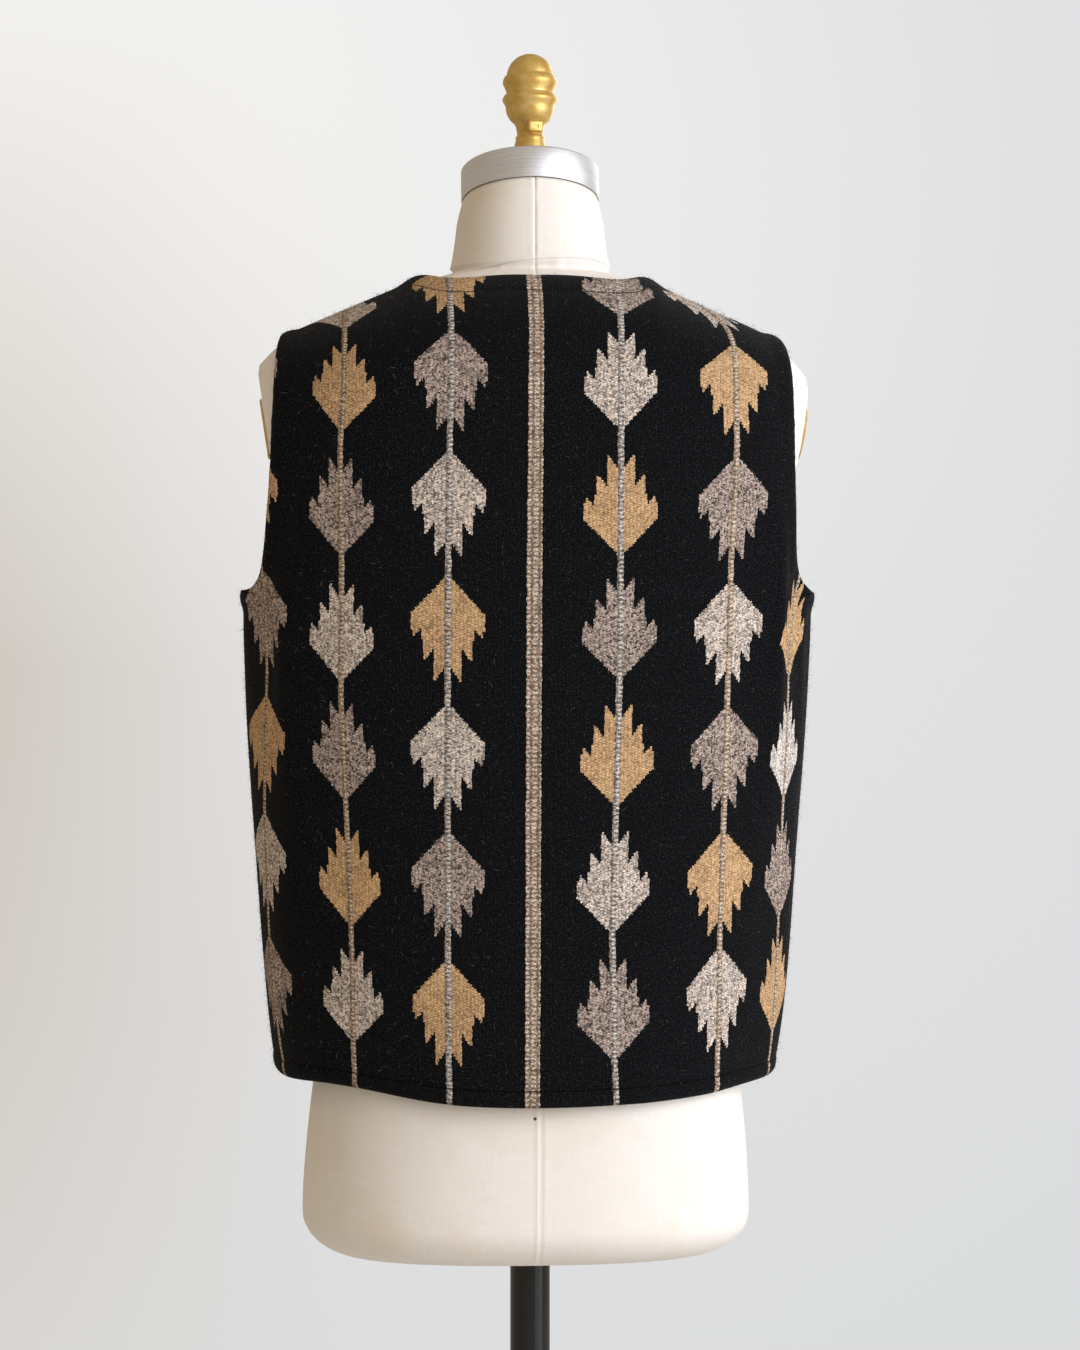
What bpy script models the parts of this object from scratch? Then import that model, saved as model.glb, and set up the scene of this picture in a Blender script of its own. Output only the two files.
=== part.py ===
"""A handwoven vest worn by a limbless dress form on a pole stand.

Metres, +Z up. The floor is z = 0, the pole stands on the Z axis and the front of the vest
faces -Y, so the wearer's left is +X. The vest is a back and two fronts. Each is a wall of
cloth whose outer face is worked out from a flat cut: s runs across it from the centre line
and v runs up it from the hem. The cut is wrapped round upright sections of the worn vest,
and near the top it is rolled over the shoulder to a ridge, where the shoulder seam lies.
"""
import math

import bmesh
import bpy
import numpy as np
from mathutils import Matrix, Vector

# The flat cut of the vest
CUT_HALF = 0.272
WALL = 0.003
SEAM_GAP = 0.0003
HEM_Z = 0.824
HEM_SIDE_RISE = 0.019
UNDERARM_Z = 1.2165
NECK_HALF = 0.090

# Where the upright sections stop changing and the cloth starts to roll over the shoulder
SECTION_TOP = 1.360
RIDGE_CENTRE_Z = 1.478
RIDGE_NECK_CURVE = 2.136
RIDGE_SLOPE = 0.426
ROLL_AT_NECK = 0.080
ROLL_TAPER = 0.128

# The worn vest sits a little towards the wearer's left, most at the hem
LEAN_HEM = 0.0045
LEAN_END_Z = 1.400

# The back's hem hangs a little higher on the wearer's left, and that fades out up the cloth
HEM_LIFT = 0.0070
HEM_LIFT_AT = 0.58
HEM_LIFT_SPREAD = 0.25
HEM_LIFT_REACH = 0.15

# The shoulder seam stands up a little at the corner of the neck
EAR_HEIGHT = 0.0015
EAR_X = 0.0920
EAR_WIDTH = 0.0085

# Turned edges of the cloth: how far they reach in and how far they stand up
HEM_WIDTH = 0.014
HEM_RAISE = 0.0012
NECK_WIDTH = 0.016
NECK_RAISE = 0.0014
ARMHOLE_WIDTH = 0.017
ARMHOLE_RAISE = 0.0020
UNDERARM_EXTRA = 0.0006

# Sections of the worn vest: height, half width, depth to the back, depth to the front,
# y of the side seam, power of the outline
VEST_SECTIONS = (
    (0.820, 0.1912, 0.1370, 0.1440, -0.004, 2.15),
    (0.860, 0.1990, 0.1350, 0.1430, -0.0035, 2.15),
    (0.920, 0.2058, 0.1315, 0.1405, -0.003, 2.15),
    (1.000, 0.2126, 0.1265, 0.1365, -0.002, 2.15),
    (1.100, 0.2204, 0.1210, 0.1300, -0.001, 2.16),
    (1.170, 0.2238, 0.1180, 0.1250, 0.000, 2.18),
    (1.215, 0.2248, 0.1165, 0.1215, 0.000, 2.20),
    (1.260, 0.2246, 0.1150, 0.1180, 0.001, 2.24),
    (1.310, 0.2228, 0.1140, 0.1135, 0.002, 2.30),
    (1.360, 0.2200, 0.1135, 0.1090, 0.003, 2.30),
)

# Armhole edge: height along the cloth, |x| of the back's edge, |x| of a front's edge
ARMHOLE = (
    (1.2165, 0.2248, 0.2248),
    (1.2190, 0.2213, 0.2207),
    (1.2240, 0.2170, 0.2135),
    (1.2320, 0.2130, 0.2070),
    (1.2450, 0.2100, 0.2015),
    (1.2650, 0.2076, 0.1970),
    (1.3100, 0.2040, 0.1925),
    (1.3600, 0.2020, 0.1930),
    (1.4000, 0.2003, 0.1945),
    (1.4530, 0.1950, 0.1950),
)

# Back neck edge: |x|, how far the cloth has rolled over towards the ridge, in degrees
BACK_NECK = (
    (0.000, 46.5),
    (0.030, 47.0),
    (0.050, 48.5),
    (0.065, 53.0),
    (0.076, 62.0),
    (0.085, 77.0),
    (0.090, 90.0),
)
FRONT_NECK_Z = 1.289
FRONT_NECK_BOW = 1.12

# Largest folds: side (1 back, -1 front), s, v, half width, half height, height out
FOLDS = (
    (1, -0.222, 0.375, 0.013, 0.085, -0.0050),
    (1, -0.196, 0.350, 0.014, 0.110, 0.0035),
    (1, -0.165, 0.330, 0.016, 0.120, -0.0025),
    (1, 0.226, 0.330, 0.016, 0.100, -0.0035),
    (1, 0.196, 0.300, 0.018, 0.120, 0.0030),
    (1, -0.236, 0.060, 0.026, 0.110, 0.0035),
    (1, -0.180, 0.020, 0.030, 0.120, -0.0030),
    (1, 0.120, 0.010, 0.034, 0.100, -0.0022),
    (1, 0.215, 0.040, 0.030, 0.110, 0.0030),
    (1, 0.020, 0.060, 0.050, 0.160, 0.0025),
    (-1, 0.205, 0.360, 0.017, 0.100, -0.0045),
    (-1, -0.212, 0.350, 0.016, 0.090, -0.0040),
    (-1, 0.165, 0.200, 0.026, 0.170, 0.0035),
    (-1, -0.150, 0.180, 0.028, 0.160, 0.0032),
    (-1, 0.100, 0.020, 0.030, 0.110, -0.0025),
    (-1, -0.205, 0.040, 0.028, 0.110, -0.0028),
)

# Where the grid lines of the cloth run, as fractions of its half width and of its height
HALF_LINES = (0.0, 0.14, 0.25, 0.32, 0.37, 0.41, 0.44, 0.463, 0.51, 0.60, 0.70, 0.79, 0.86,
              0.91, 0.945, 0.967, 0.988, 1.0)
FRONT_LINES = (0.0, 0.012, 0.045, 0.13, 0.26, 0.39, 0.52, 0.64, 0.75, 0.84, 0.90, 0.942, 0.967,
               0.988, 1.0)
LOWER_LINES = (0.0, 0.008, 0.026, 0.055, 0.15, 0.29, 0.43, 0.57, 0.71, 0.83, 0.92, 0.965, 0.99, 1.0)
UPPER_LINES = (0.018, 0.045, 0.09, 0.15, 0.23, 0.32, 0.42, 0.52, 0.61, 0.69, 0.76, 0.82, 0.87,
               0.915, 0.95, 0.975, 0.991, 1.0)

# Sections of the dress form: height, half width, depth to the back, depth to the front,
# y of the middle, power of the outline
FORM_BOTTOM = 0.695
FORM_SECTIONS = (
    (0.690, 0.1740, 0.1160, 0.1090, 0.000, 2.4),
    (0.740, 0.1757, 0.1190, 0.1110, 0.000, 2.4),
    (0.815, 0.1700, 0.1185, 0.1100, 0.000, 2.4),
    (0.900, 0.1590, 0.1090, 0.1040, 0.000, 2.4),
    (1.000, 0.1500, 0.0970, 0.1000, 0.000, 2.4),
    (1.080, 0.1520, 0.0950, 0.1040, 0.000, 2.4),
    (1.170, 0.1620, 0.1010, 0.1120, 0.000, 2.4),
    (1.215, 0.1680, 0.1035, 0.1130, 0.000, 2.4),
    (1.260, 0.1790, 0.1060, 0.1110, 0.001, 2.35),
    (1.285, 0.1915, 0.1072, 0.1085, 0.0015, 2.3),
    (1.310, 0.2110, 0.1074, 0.1060, 0.002, 2.1),
    (1.340, 0.2215, 0.1077, 0.1045, 0.0026, 2.0),
    (1.360, 0.2250, 0.1078, 0.1035, 0.003, 1.95),
)
FORM_UNDER_CLOTH = 0.0044
BOTTOM_ROUND_HEIGHT = 0.032
BOTTOM_ROUND_INSET = 0.044
BOTTOM_ROUND_LINES = (0.0, 0.05, 0.16, 0.34, 0.6)
FORM_LEVELS = (0.727, 0.76, 0.80, 0.85, 0.90, 0.95, 1.00, 1.05, 1.10, 1.15, 1.20, 1.24, 1.265,
               1.285, 1.305, 1.325, 1.345, 1.365, 1.382, 1.397, 1.410, 1.421, 1.431, 1.440,
               1.448, 1.455, 1.461, 1.466, 1.470)
FORM_SIDES = 40
TIP_START = 0.185
TIP_DROP = 13.0

# The form's hips sit a little towards the wearer's left of its chest
HIP_SHIFT = 0.0033
HIP_SHIFT_Z = 1.10
HIP_SHIFT_SPAN = 0.35

# Neck: height, half width, half depth, y of the middle, tilt in degrees
NECK_FOOT = (1.470, 0.0630, 0.0560, 0.001, 0.0)
NECK_LEVELS = (
    (1.4790, 0.0612, 0.0558, 0.0010, 2.0),
    (1.4920, 0.0592, 0.0550, 0.0010, 5.0),
    (1.5070, 0.0573, 0.0545, 0.0011, 9.0),
)
NECK_BLEND = 12
CAP_TILT = math.radians(13.3)
CAP_TOP_CENTRE = Vector((0.0, -0.004, 1.5485))
CAP_RADIUS = 0.0545
CAP_HEIGHT = 0.0255
CAP_EDGE = 0.0012
NECK_TOP_RADIUS = 0.0533
PIECE_GAP = 0.0003

# Arm ends: a plane that leans in towards the waist, with an oval plate on it. The left one is
# nearer to the middle, and the sign of x picks one.
ARM_CUT_X = {1: 0.2142, -1: 0.2205}
ARM_CUT_Z = 1.385
ARM_CUT_LEAN = 0.15
ARM_CUT_FLOOR = 1.21
PLATE_THICK = 0.0018
PLATE_CENTRE_Z = 1.343
PLATE_CENTRE_Y = 0.003
PLATE_HALF_HEIGHT = 0.024
PLATE_HALF_DEPTH = 0.022
PLATE_SIDES = 36

# Finial: radius, height above the middle of the cap
FINIAL_PROFILE = (
    (0.0155, 0.0003),
    (0.0155, 0.0040),
    (0.0142, 0.0110),
    (0.0125, 0.0190),
    (0.0113, 0.0245),
    (0.0116, 0.0262),
    (0.0104, 0.0278),
    (0.0106, 0.0320),
    (0.0121, 0.0365),
    (0.0160, 0.0405),
    (0.0186, 0.0455),
    (0.0195, 0.0510),
    (0.0219, 0.0557),
    (0.0204, 0.0592),
    (0.0187, 0.0615),
    (0.0198, 0.0650),
    (0.0216, 0.0697),
    (0.0203, 0.0738),
    (0.0186, 0.0755),
    (0.0179, 0.0785),
    (0.0167, 0.0818),
    (0.0150, 0.0848),
    (0.0125, 0.0876),
    (0.0092, 0.0900),
    (0.0050, 0.0918),
)
FINIAL_SIDES = 28
BOSS_SIZE = (0.0120, 0.0100, 0.0088)
BOSS_REACH = 0.0098
BOSS_Z = 0.0335
BOSS_TURN = math.radians(15)

# Stand
POLE_RADIUS = 0.0157
POLE_SIDES = 32
BASE_RADIUS = 0.240
BASE_RIM = 0.008
BASE_CROWN = 0.013
HUB_RADIUS = 0.027
HUB_TOP = 0.052
SOCKET_FLOOR = 0.006
BASE_SIDES = 64

# Finish: name, colour, metallic, roughness
FINISHES = {
    "woven_wool": ((0.012, 0.012, 0.014), 0.0, 0.95),
    "linen_cover": ((0.80, 0.73, 0.62), 0.0, 0.85),
    "satin_aluminium": ((0.72, 0.73, 0.74), 1.0, 0.38),
    "gold_paint": ((0.72, 0.50, 0.18), 0.9, 0.42),
    "black_steel": ((0.02, 0.02, 0.022), 0.4, 0.40),
}

QUARTER_TURN = math.pi / 2
QUARTER = np.linspace(0.0, QUARTER_TURN, 161)


def row_at(rows, key):
    """The columns of a table at a key between its rows, on a smooth curve through them."""
    keys = [row[0] for row in rows]
    key = min(max(key, keys[0]), keys[-1])
    last = len(rows) - 2
    index = min(max(np.searchsorted(keys, key, side="right") - 1, 0), last)
    start, end = rows[index], rows[index + 1]
    span = end[0] - start[0]
    t = (key - start[0]) / span

    def slope(at, column):
        low = max(at - 1, 0)
        high = min(at + 1, len(rows) - 1)
        return (rows[high][column] - rows[low][column]) / (rows[high][0] - rows[low][0])

    values = []
    for column in range(1, len(start)):
        first = slope(index, column) * span
        second = slope(index + 1, column) * span
        values.append(
            (2 * t ** 3 - 3 * t ** 2 + 1) * start[column]
            + (t ** 3 - 2 * t ** 2 + t) * first
            + (3 * t ** 2 - 2 * t ** 3) * end[column]
            + (t ** 3 - t ** 2) * second
        )
    return values


def quarter_outline(half_width, depth, power):
    """Points of a quarter outline from the centre line to the side, and their length."""
    x = half_width * np.sin(QUARTER) ** (2 / power)
    y = depth * np.cos(QUARTER) ** (2 / power)
    y[-1] = 0.0
    length = np.concatenate(([0.0], np.cumsum(np.hypot(np.diff(x), np.diff(y)))))
    return x, y, length / length[-1]


def ridge_of(x):
    """Height of the shoulder ridge at x, and the radius that the cloth rolls over to it."""
    x = abs(x)
    if x < NECK_HALF:
        height = RIDGE_CENTRE_Z - RIDGE_NECK_CURVE * x * x
    else:
        at_neck = RIDGE_CENTRE_Z - RIDGE_NECK_CURVE * NECK_HALF ** 2
        height = at_neck - RIDGE_SLOPE * (x - NECK_HALF)
    height += EAR_HEIGHT * math.exp(-((x - EAR_X) / EAR_WIDTH) ** 2)
    return height, ROLL_AT_NECK - ROLL_TAPER * x


def quarter_ellipse(a, b):
    """Length of a quarter of an ellipse."""
    ratio = 3 * ((a - b) / (a + b)) ** 2
    return QUARTER_TURN * (a + b) * (1 + ratio / (10 + math.sqrt(4 - ratio))) / 2


def hem_z(side, s):
    """Height of the hem at s: it hangs lowest at the centre back."""
    lift = HEM_SIDE_RISE * min(abs(s) / CUT_HALF, 1.0) ** 2
    return HEM_Z + (lift if side > 0 else HEM_SIDE_RISE)


def vest_section(side, path_z, s):
    """Where the cloth at s lies in the upright section at a height: x, depth and seam y."""
    half, back, front, side_y, power = row_at(VEST_SECTIONS, min(path_z, SECTION_TOP))
    xs, ys, fractions = quarter_outline(half, back if side > 0 else front, power)
    fraction = min(abs(s) / CUT_HALF, 1.0)
    x = float(np.interp(fraction, fractions, xs))
    y = float(np.interp(fraction, fractions, ys))
    return x, y, side_y


def lean(z):
    """How far towards +X the vest sits at a height."""
    return LEAN_HEM * max(LEAN_END_Z - z, 0.0) / (LEAN_END_Z - HEM_Z)


def vest_point(side, s, v):
    """Outer face of the plain cloth, before its turned edges and folds."""
    path_z = hem_z(side, s) + v
    if side > 0:
        lift = HEM_LIFT * math.exp(-((s / CUT_HALF - HEM_LIFT_AT) / HEM_LIFT_SPREAD) ** 2)
        path_z += lift * min(max(1 - v / HEM_LIFT_REACH, 0.0), 1.0) ** 2
    x, y, side_y = vest_section(side, path_z, s)
    z = path_z
    ridge, radius = ridge_of(x)
    roll_start = ridge - radius
    if z > roll_start:
        turn = min((z - roll_start) / quarter_ellipse(y, radius), 1.0) * QUARTER_TURN
        z = roll_start + radius * math.sin(turn)
        y = y * math.cos(turn)
    return Vector((math.copysign(x, s) + lean(z), side_y + side * y, z))


def vest_normal(side, s, v):
    """Direction straight out of the cloth."""
    step = 0.0006
    left = vest_point(side, max(s - step, -CUT_HALF), v)
    right = vest_point(side, min(s + step, CUT_HALF), v)
    below = vest_point(side, s, v - step)
    above = vest_point(side, s, v + step)
    return ((above - below).cross(right - left) * side).normalized()


def s_of_x(side, path_z, x):
    """How far across the cut the cloth lies that stands at x in the section at a height."""
    half, back, front, side_y, power = row_at(VEST_SECTIONS, min(path_z, SECTION_TOP))
    xs, ys, fractions = quarter_outline(half, back if side > 0 else front, power)
    return float(np.interp(x, xs, fractions)) * CUT_HALF


def armhole_half(side, path_z):
    """Half width of the cut at a height along the cloth: the armhole's edge."""
    column = 0 if side > 0 else 1
    edge_x = row_at(ARMHOLE, path_z)[column]
    return s_of_x(side, path_z, edge_x)


def seam_path(side, s):
    """Height along the cloth of the shoulder seam at s, or of the ridge within the neck."""
    x, y, side_y = vest_section(side, SECTION_TOP, s)
    ridge, radius = ridge_of(x)
    return ridge - radius + quarter_ellipse(y, radius) - SEAM_GAP / 2


def top_v(side, s):
    """v of the top edge at s: the shoulder seam, or the back's neck edge between the seams."""
    seam = seam_path(side, s)
    x, y, side_y = vest_section(side, SECTION_TOP, s)
    if side > 0 and x < NECK_HALF:
        ridge, radius = ridge_of(x)
        turned = row_at(BACK_NECK, x)[0] / 90
        seam = min(ridge - radius + quarter_ellipse(y, radius) * turned, seam)
    return seam - hem_z(side, s)


def front_neck_s(path_z):
    """Where a front's neck edge lies across the cut at a height along the cloth."""
    neck_s = s_of_x(-1, SECTION_TOP, NECK_HALF)
    along = (path_z - FRONT_NECK_Z) / (seam_path(-1, neck_s) - FRONT_NECK_Z)
    return neck_s * max(along, 0.0) ** FRONT_NECK_BOW


def armhole_edge(side):
    """Points of the armhole's edge in the flat cut, from the underarm to the shoulder."""
    low, high = ARMHOLE[0][0], ARMHOLE[-1][0]
    edge = []
    for step in range(41):
        path_z = low + (high - low) * (step / 40) ** 1.6
        half = armhole_half(side, path_z)
        edge.append((half, path_z - hem_z(side, half)))
    return np.array(edge)


def neck_edge(side):
    """Points of the neck edge in the flat cut, for the half at positive s."""
    half = s_of_x(side, SECTION_TOP, NECK_HALF)
    if side > 0:
        return np.array([(half * k / 24, top_v(side, half * k / 24)) for k in range(25)])
    span = seam_path(side, half) - FRONT_NECK_Z
    heights = [FRONT_NECK_Z + span * k / 30 for k in range(31)]
    return np.array([(front_neck_s(z), z - hem_z(side, 0.0)) for z in heights])


def nearest(edge, s, v):
    """Distance in the flat cut from a point to an edge."""
    return float(np.min(np.hypot(edge[:, 0] - abs(s), edge[:, 1] - v)))


def turned_edge(distance, width, height):
    """How far a turned edge stands up at a distance in from the edge."""
    t = min(max(distance / width, 0.0), 1.0)
    return height * math.sin(math.pi * t ** 0.6)


def fold_out(side, s, v):
    """How far the folds move the cloth out, or in where the number is below zero."""
    out = 0.0
    for fold_side, fold_s, fold_v, half_width, half_height, height in FOLDS:
        if fold_side == side:
            across = ((s - fold_s) / half_width) ** 2
            along = ((v - fold_v) / half_height) ** 2
            out += height * math.exp(-across - along)
    return out


def edge_out(side, s, v, edges):
    """How far the turned hem, neck and armhole stand up from the plain cloth."""
    armhole, neck = edges
    underarm = min(max((abs(s) - 0.225) / 0.040, 0.0), 1.0)
    raise_here = ARMHOLE_RAISE + UNDERARM_EXTRA * underarm
    heights = [
        turned_edge(v, HEM_WIDTH, HEM_RAISE),
        turned_edge(nearest(armhole, s, v), ARMHOLE_WIDTH, raise_here),
        turned_edge(nearest(neck, s, v), NECK_WIDTH, NECK_RAISE),
    ]
    if side < 0:
        heights.append(turned_edge(abs(s), HEM_WIDTH, HEM_RAISE))
    return max(heights)


def cut_grid(side, lines, sign):
    """Rows of (s, v) that fill one cut piece, from the hem to its top edge."""
    gap = SEAM_GAP / 2
    centre = gap if side < 0 else 0.0
    underarm_v = UNDERARM_Z - hem_z(side, CUT_HALF)
    neck_path = seam_path(side, s_of_x(side, SECTION_TOP, NECK_HALF))
    rows = []
    for fraction in LOWER_LINES:
        width = CUT_HALF - gap - centre
        rows.append([(sign * (centre + line * width), fraction * underarm_v) for line in lines])
    for fraction in UPPER_LINES:
        half = armhole_half(side, UNDERARM_Z + (ARMHOLE[-1][0] - UNDERARM_Z) * fraction)
        start = centre
        if side < 0:
            neck_z = UNDERARM_Z + (neck_path - UNDERARM_Z) * fraction
            start = max(front_neck_s(neck_z), centre)
        row = []
        for line in lines:
            s = start + line * (half - start)
            top = top_v(side, s)
            row.append((sign * s, underarm_v + (top - underarm_v) * fraction))
        rows.append(row)
    return rows


def cloth_wall(name, side, lines, sign):
    """One cut piece as a closed wall: outer face with turned edges, inner face plain."""
    grid = cut_grid(side, lines, sign)
    edges = (armhole_edge(side), neck_edge(side))
    mesh = bmesh.new()
    outer = []
    inner = []
    for row in grid:
        outer_row = []
        inner_row = []
        for s, v in row:
            base = vest_point(side, s, v)
            normal = vest_normal(side, s, v)
            folded = base + normal * fold_out(side, s, v)
            outer_row.append(mesh.verts.new(folded + normal * edge_out(side, s, v, edges)))
            inner_row.append(mesh.verts.new(folded - normal * WALL))
        outer.append(outer_row)
        inner.append(inner_row)
    for face in (outer, inner):
        for lower, upper in zip(face, face[1:]):
            for k in range(len(lower) - 1):
                mesh.faces.new((lower[k], lower[k + 1], upper[k + 1], upper[k]))
    rim_outer = outline_of(outer)
    rim_inner = outline_of(inner)
    count = len(rim_outer)
    for k in range(count):
        after = (k + 1) % count
        mesh.faces.new((rim_outer[k], rim_outer[after], rim_inner[after], rim_inner[k]))
    bmesh.ops.recalc_face_normals(mesh, faces=mesh.faces[:])
    return add_object(name, mesh, "woven_wool")


def outline_of(grid):
    """The border of a grid of points, once round."""
    bottom = grid[0]
    right = [row[-1] for row in grid[1:-1]]
    top = grid[-1][::-1]
    left = [row[0] for row in grid[-2:0:-1]]
    return bottom + right + top + left


def finish(name):
    """The material of a finish, made once."""
    material = bpy.data.materials.get(name)
    if material is None:
        colour, metallic, roughness = FINISHES[name]
        material = bpy.data.materials.new(name)
        material.use_nodes = True
        shader = material.node_tree.nodes["Principled BSDF"]
        shader.inputs["Base Color"].default_value = (*colour, 1.0)
        shader.inputs["Metallic"].default_value = metallic
        shader.inputs["Roughness"].default_value = roughness
        material.diffuse_color = (*colour, 1.0)
    return material


def add_object(name, mesh, finish_name, sharp=math.radians(35)):
    """Turns a bmesh into a named object with its own material."""
    data = bpy.data.meshes.new(name)
    mesh.to_mesh(data)
    mesh.free()
    data.shade_smooth()
    data.set_sharp_from_angle(angle=sharp)
    data.materials.append(finish(finish_name))
    piece = bpy.data.objects.new(name, data)
    bpy.context.scene.collection.objects.link(piece)
    return piece


def ring_solid(rings):
    """A closed solid through rings of points, with a flat face at each end."""
    mesh = bmesh.new()
    loops = [[mesh.verts.new(point) for point in ring] for ring in rings]
    for lower, upper in zip(loops, loops[1:]):
        count = len(lower)
        for k in range(count):
            after = (k + 1) % count
            mesh.faces.new((lower[k], lower[after], upper[after], upper[k]))
    mesh.faces.new(loops[0][::-1])
    mesh.faces.new(loops[-1])
    bmesh.ops.recalc_face_normals(mesh, faces=mesh.faces[:])
    return mesh


def turned_rings(profile, sides, lift=0.0):
    """Rings of a turned shape from its (radius, height) profile."""
    rings = []
    for radius, height in profile:
        ring = []
        for k in range(sides):
            angle = 2 * math.pi * k / sides
            ring.append(Vector((radius * math.cos(angle), radius * math.sin(angle), height + lift)))
        rings.append(ring)
    return rings


def neck_radius(angle, half_width, half_depth):
    """Distance from the neck's middle to its outline in one direction."""
    return 1 / math.hypot(math.cos(angle) / half_width, math.sin(angle) / half_depth)


def form_ridge(x):
    """The form's shoulder ridge: under the cloth, then rounded off at the arm's end."""
    height, radius = ridge_of(x)
    past_tip = max(abs(x) - TIP_START, 0.0)
    centre = height - radius
    inner = radius - FORM_UNDER_CLOTH - TIP_DROP * past_tip ** 2
    return centre, max(inner, 0.001)


def shoulder_reach(z, half_width):
    """Half width of the form at a height, where its shoulder ridge passes that height."""
    low, high = 0.0, half_width
    centre, radius = form_ridge(high)
    if z <= centre + radius:
        return half_width
    for unused in range(40):
        middle = (low + high) / 2
        centre, radius = form_ridge(middle)
        if centre + radius > z:
            low = middle
        else:
            high = middle
    return low


def form_ring(z, inset=0.0):
    """One level ring of the form below its neck."""
    row = row_at(FORM_SECTIONS, min(max(z, FORM_BOTTOM), SECTION_TOP))
    half_width, back, front, middle_y, power = row
    half_width -= inset
    reach = shoulder_reach(z, half_width)
    hips = HIP_SHIFT * min(max((HIP_SHIFT_Z - z) / HIP_SHIFT_SPAN, 0.0), 1.0)
    ring = []
    for k in range(FORM_SIDES):
        angle = 2 * math.pi * k / FORM_SIDES
        across, along = math.cos(angle), math.sin(angle)
        x = math.copysign(reach * abs(across) ** (2 / power), across)
        depth = (back if along > 0 else front) - inset
        ratio = min(abs(x) / half_width, 1.0)
        y = depth * (1 - ratio ** power) ** (1 / power)
        centre, radius = form_ridge(x)
        if z > centre:
            rise = min((z - centre) / radius, 1.0)
            y *= math.sqrt(1 - rise * rise)
        y = math.copysign(y, along)
        ring.append(swell_to_neck(x, y, middle_y, z) + Vector((hips, 0.0, 0.0)))
    return ring


def swell_to_neck(x, y, middle_y, z):
    """Moves a shoulder point out where the neck stands through it."""
    foot_z, half_width, half_depth, foot_y, unused = NECK_FOOT
    direction = math.atan2(y, x)
    own = math.hypot(x, y)
    closeness = max(0.0, 1 - (foot_z - z) / 0.05)
    neck = neck_radius(direction, half_width, half_depth) * closeness
    radius = (own ** NECK_BLEND + neck ** NECK_BLEND) ** (1 / NECK_BLEND)
    return Vector((radius * math.cos(direction), middle_y + radius * math.sin(direction), z))


def neck_ring(z, half_width, half_depth, middle_y, tilt):
    """One ring of the neck, tilted up at the back."""
    ring = []
    for k in range(FORM_SIDES):
        angle = 2 * math.pi * k / FORM_SIDES
        x = half_width * math.cos(angle)
        along = half_depth * math.sin(angle)
        ring.append(Vector((x, middle_y + along * math.cos(tilt), z + along * math.sin(tilt))))
    return ring


def cap_normal():
    """Direction out of the top of the neck cap."""
    return Vector((0.0, -math.sin(CAP_TILT), math.cos(CAP_TILT)))


def build_torso():
    """The covered form: hips, waist, chest, shoulders and neck in one solid."""
    rings = []
    for t in BOTTOM_ROUND_LINES:
        inset = BOTTOM_ROUND_INSET * (1 - math.sqrt(1 - (1 - t) ** 2))
        rings.append(form_ring(FORM_BOTTOM + BOTTOM_ROUND_HEIGHT * t, inset))
    rings.extend(form_ring(z) for z in FORM_LEVELS)
    for z, half_width, half_depth, middle_y, tilt in NECK_LEVELS:
        rings.append(neck_ring(z, half_width, half_depth, middle_y, math.radians(tilt)))
    top = CAP_TOP_CENTRE - cap_normal() * (CAP_HEIGHT + PIECE_GAP)
    rings.append(neck_ring(top.z, NECK_TOP_RADIUS, NECK_TOP_RADIUS, top.y, CAP_TILT))
    mesh = ring_solid(rings)
    for sign in (1, -1):
        normal = Vector((sign, 0.0, -ARM_CUT_LEAN)).normalized()
        point = Vector((sign * ARM_CUT_X[sign], 0.0, ARM_CUT_Z))
        arm = [face for face in mesh.faces if min(v.co.z for v in face.verts) > ARM_CUT_FLOOR]
        arm_edges = {edge for face in arm for edge in face.edges}
        arm_verts = {vert for face in arm for vert in face.verts}
        bmesh.ops.bisect_plane(mesh, geom=arm + list(arm_edges) + list(arm_verts),
                               plane_co=point, plane_no=normal, clear_outer=True)
        rim = [edge for edge in mesh.edges if edge.is_boundary]
        bmesh.ops.contextual_create(mesh, geom=rim)
    bmesh.ops.recalc_face_normals(mesh, faces=mesh.faces[:])
    return add_object("form_torso", mesh, "linen_cover")


def build_arm_plate(name, sign):
    """An oval plate on the slanted end of a shoulder."""
    out = Vector((sign, 0.0, -ARM_CUT_LEAN)).normalized()
    up = Vector((sign * ARM_CUT_LEAN, 0.0, 1.0)).normalized()
    along = Vector((0.0, 1.0, 0.0))
    centre_x = sign * (ARM_CUT_X[sign] + ARM_CUT_LEAN * (PLATE_CENTRE_Z - ARM_CUT_Z))
    centre = Vector((centre_x, PLATE_CENTRE_Y, PLATE_CENTRE_Z)) + out * PIECE_GAP
    rings = []
    for depth, inset in ((0.0, 0.0), (PLATE_THICK * 0.6, 0.0), (PLATE_THICK, 0.001)):
        ring = []
        for k in range(PLATE_SIDES):
            angle = 2 * math.pi * k / PLATE_SIDES
            ring.append(centre + out * depth
                        + along * (PLATE_HALF_DEPTH - inset) * math.cos(angle)
                        + up * (PLATE_HALF_HEIGHT - inset) * math.sin(angle))
        rings.append(ring)
    return add_object(name, ring_solid(rings), "gold_paint")


def build_neck_cap():
    """The slanted metal cap on the neck, with softened edges."""
    mesh = bmesh.new()
    bmesh.ops.create_cone(mesh, cap_ends=True, segments=56, radius1=CAP_RADIUS,
                          radius2=CAP_RADIUS, depth=CAP_HEIGHT)
    cap = add_object("form_neck_cap", mesh, "satin_aluminium")
    cap.rotation_euler = (CAP_TILT, 0.0, 0.0)
    cap.location = CAP_TOP_CENTRE - cap_normal() * CAP_HEIGHT / 2
    edge = cap.modifiers.new("edge", "BEVEL")
    edge.width = CAP_EDGE
    edge.segments = 2
    return cap


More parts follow.
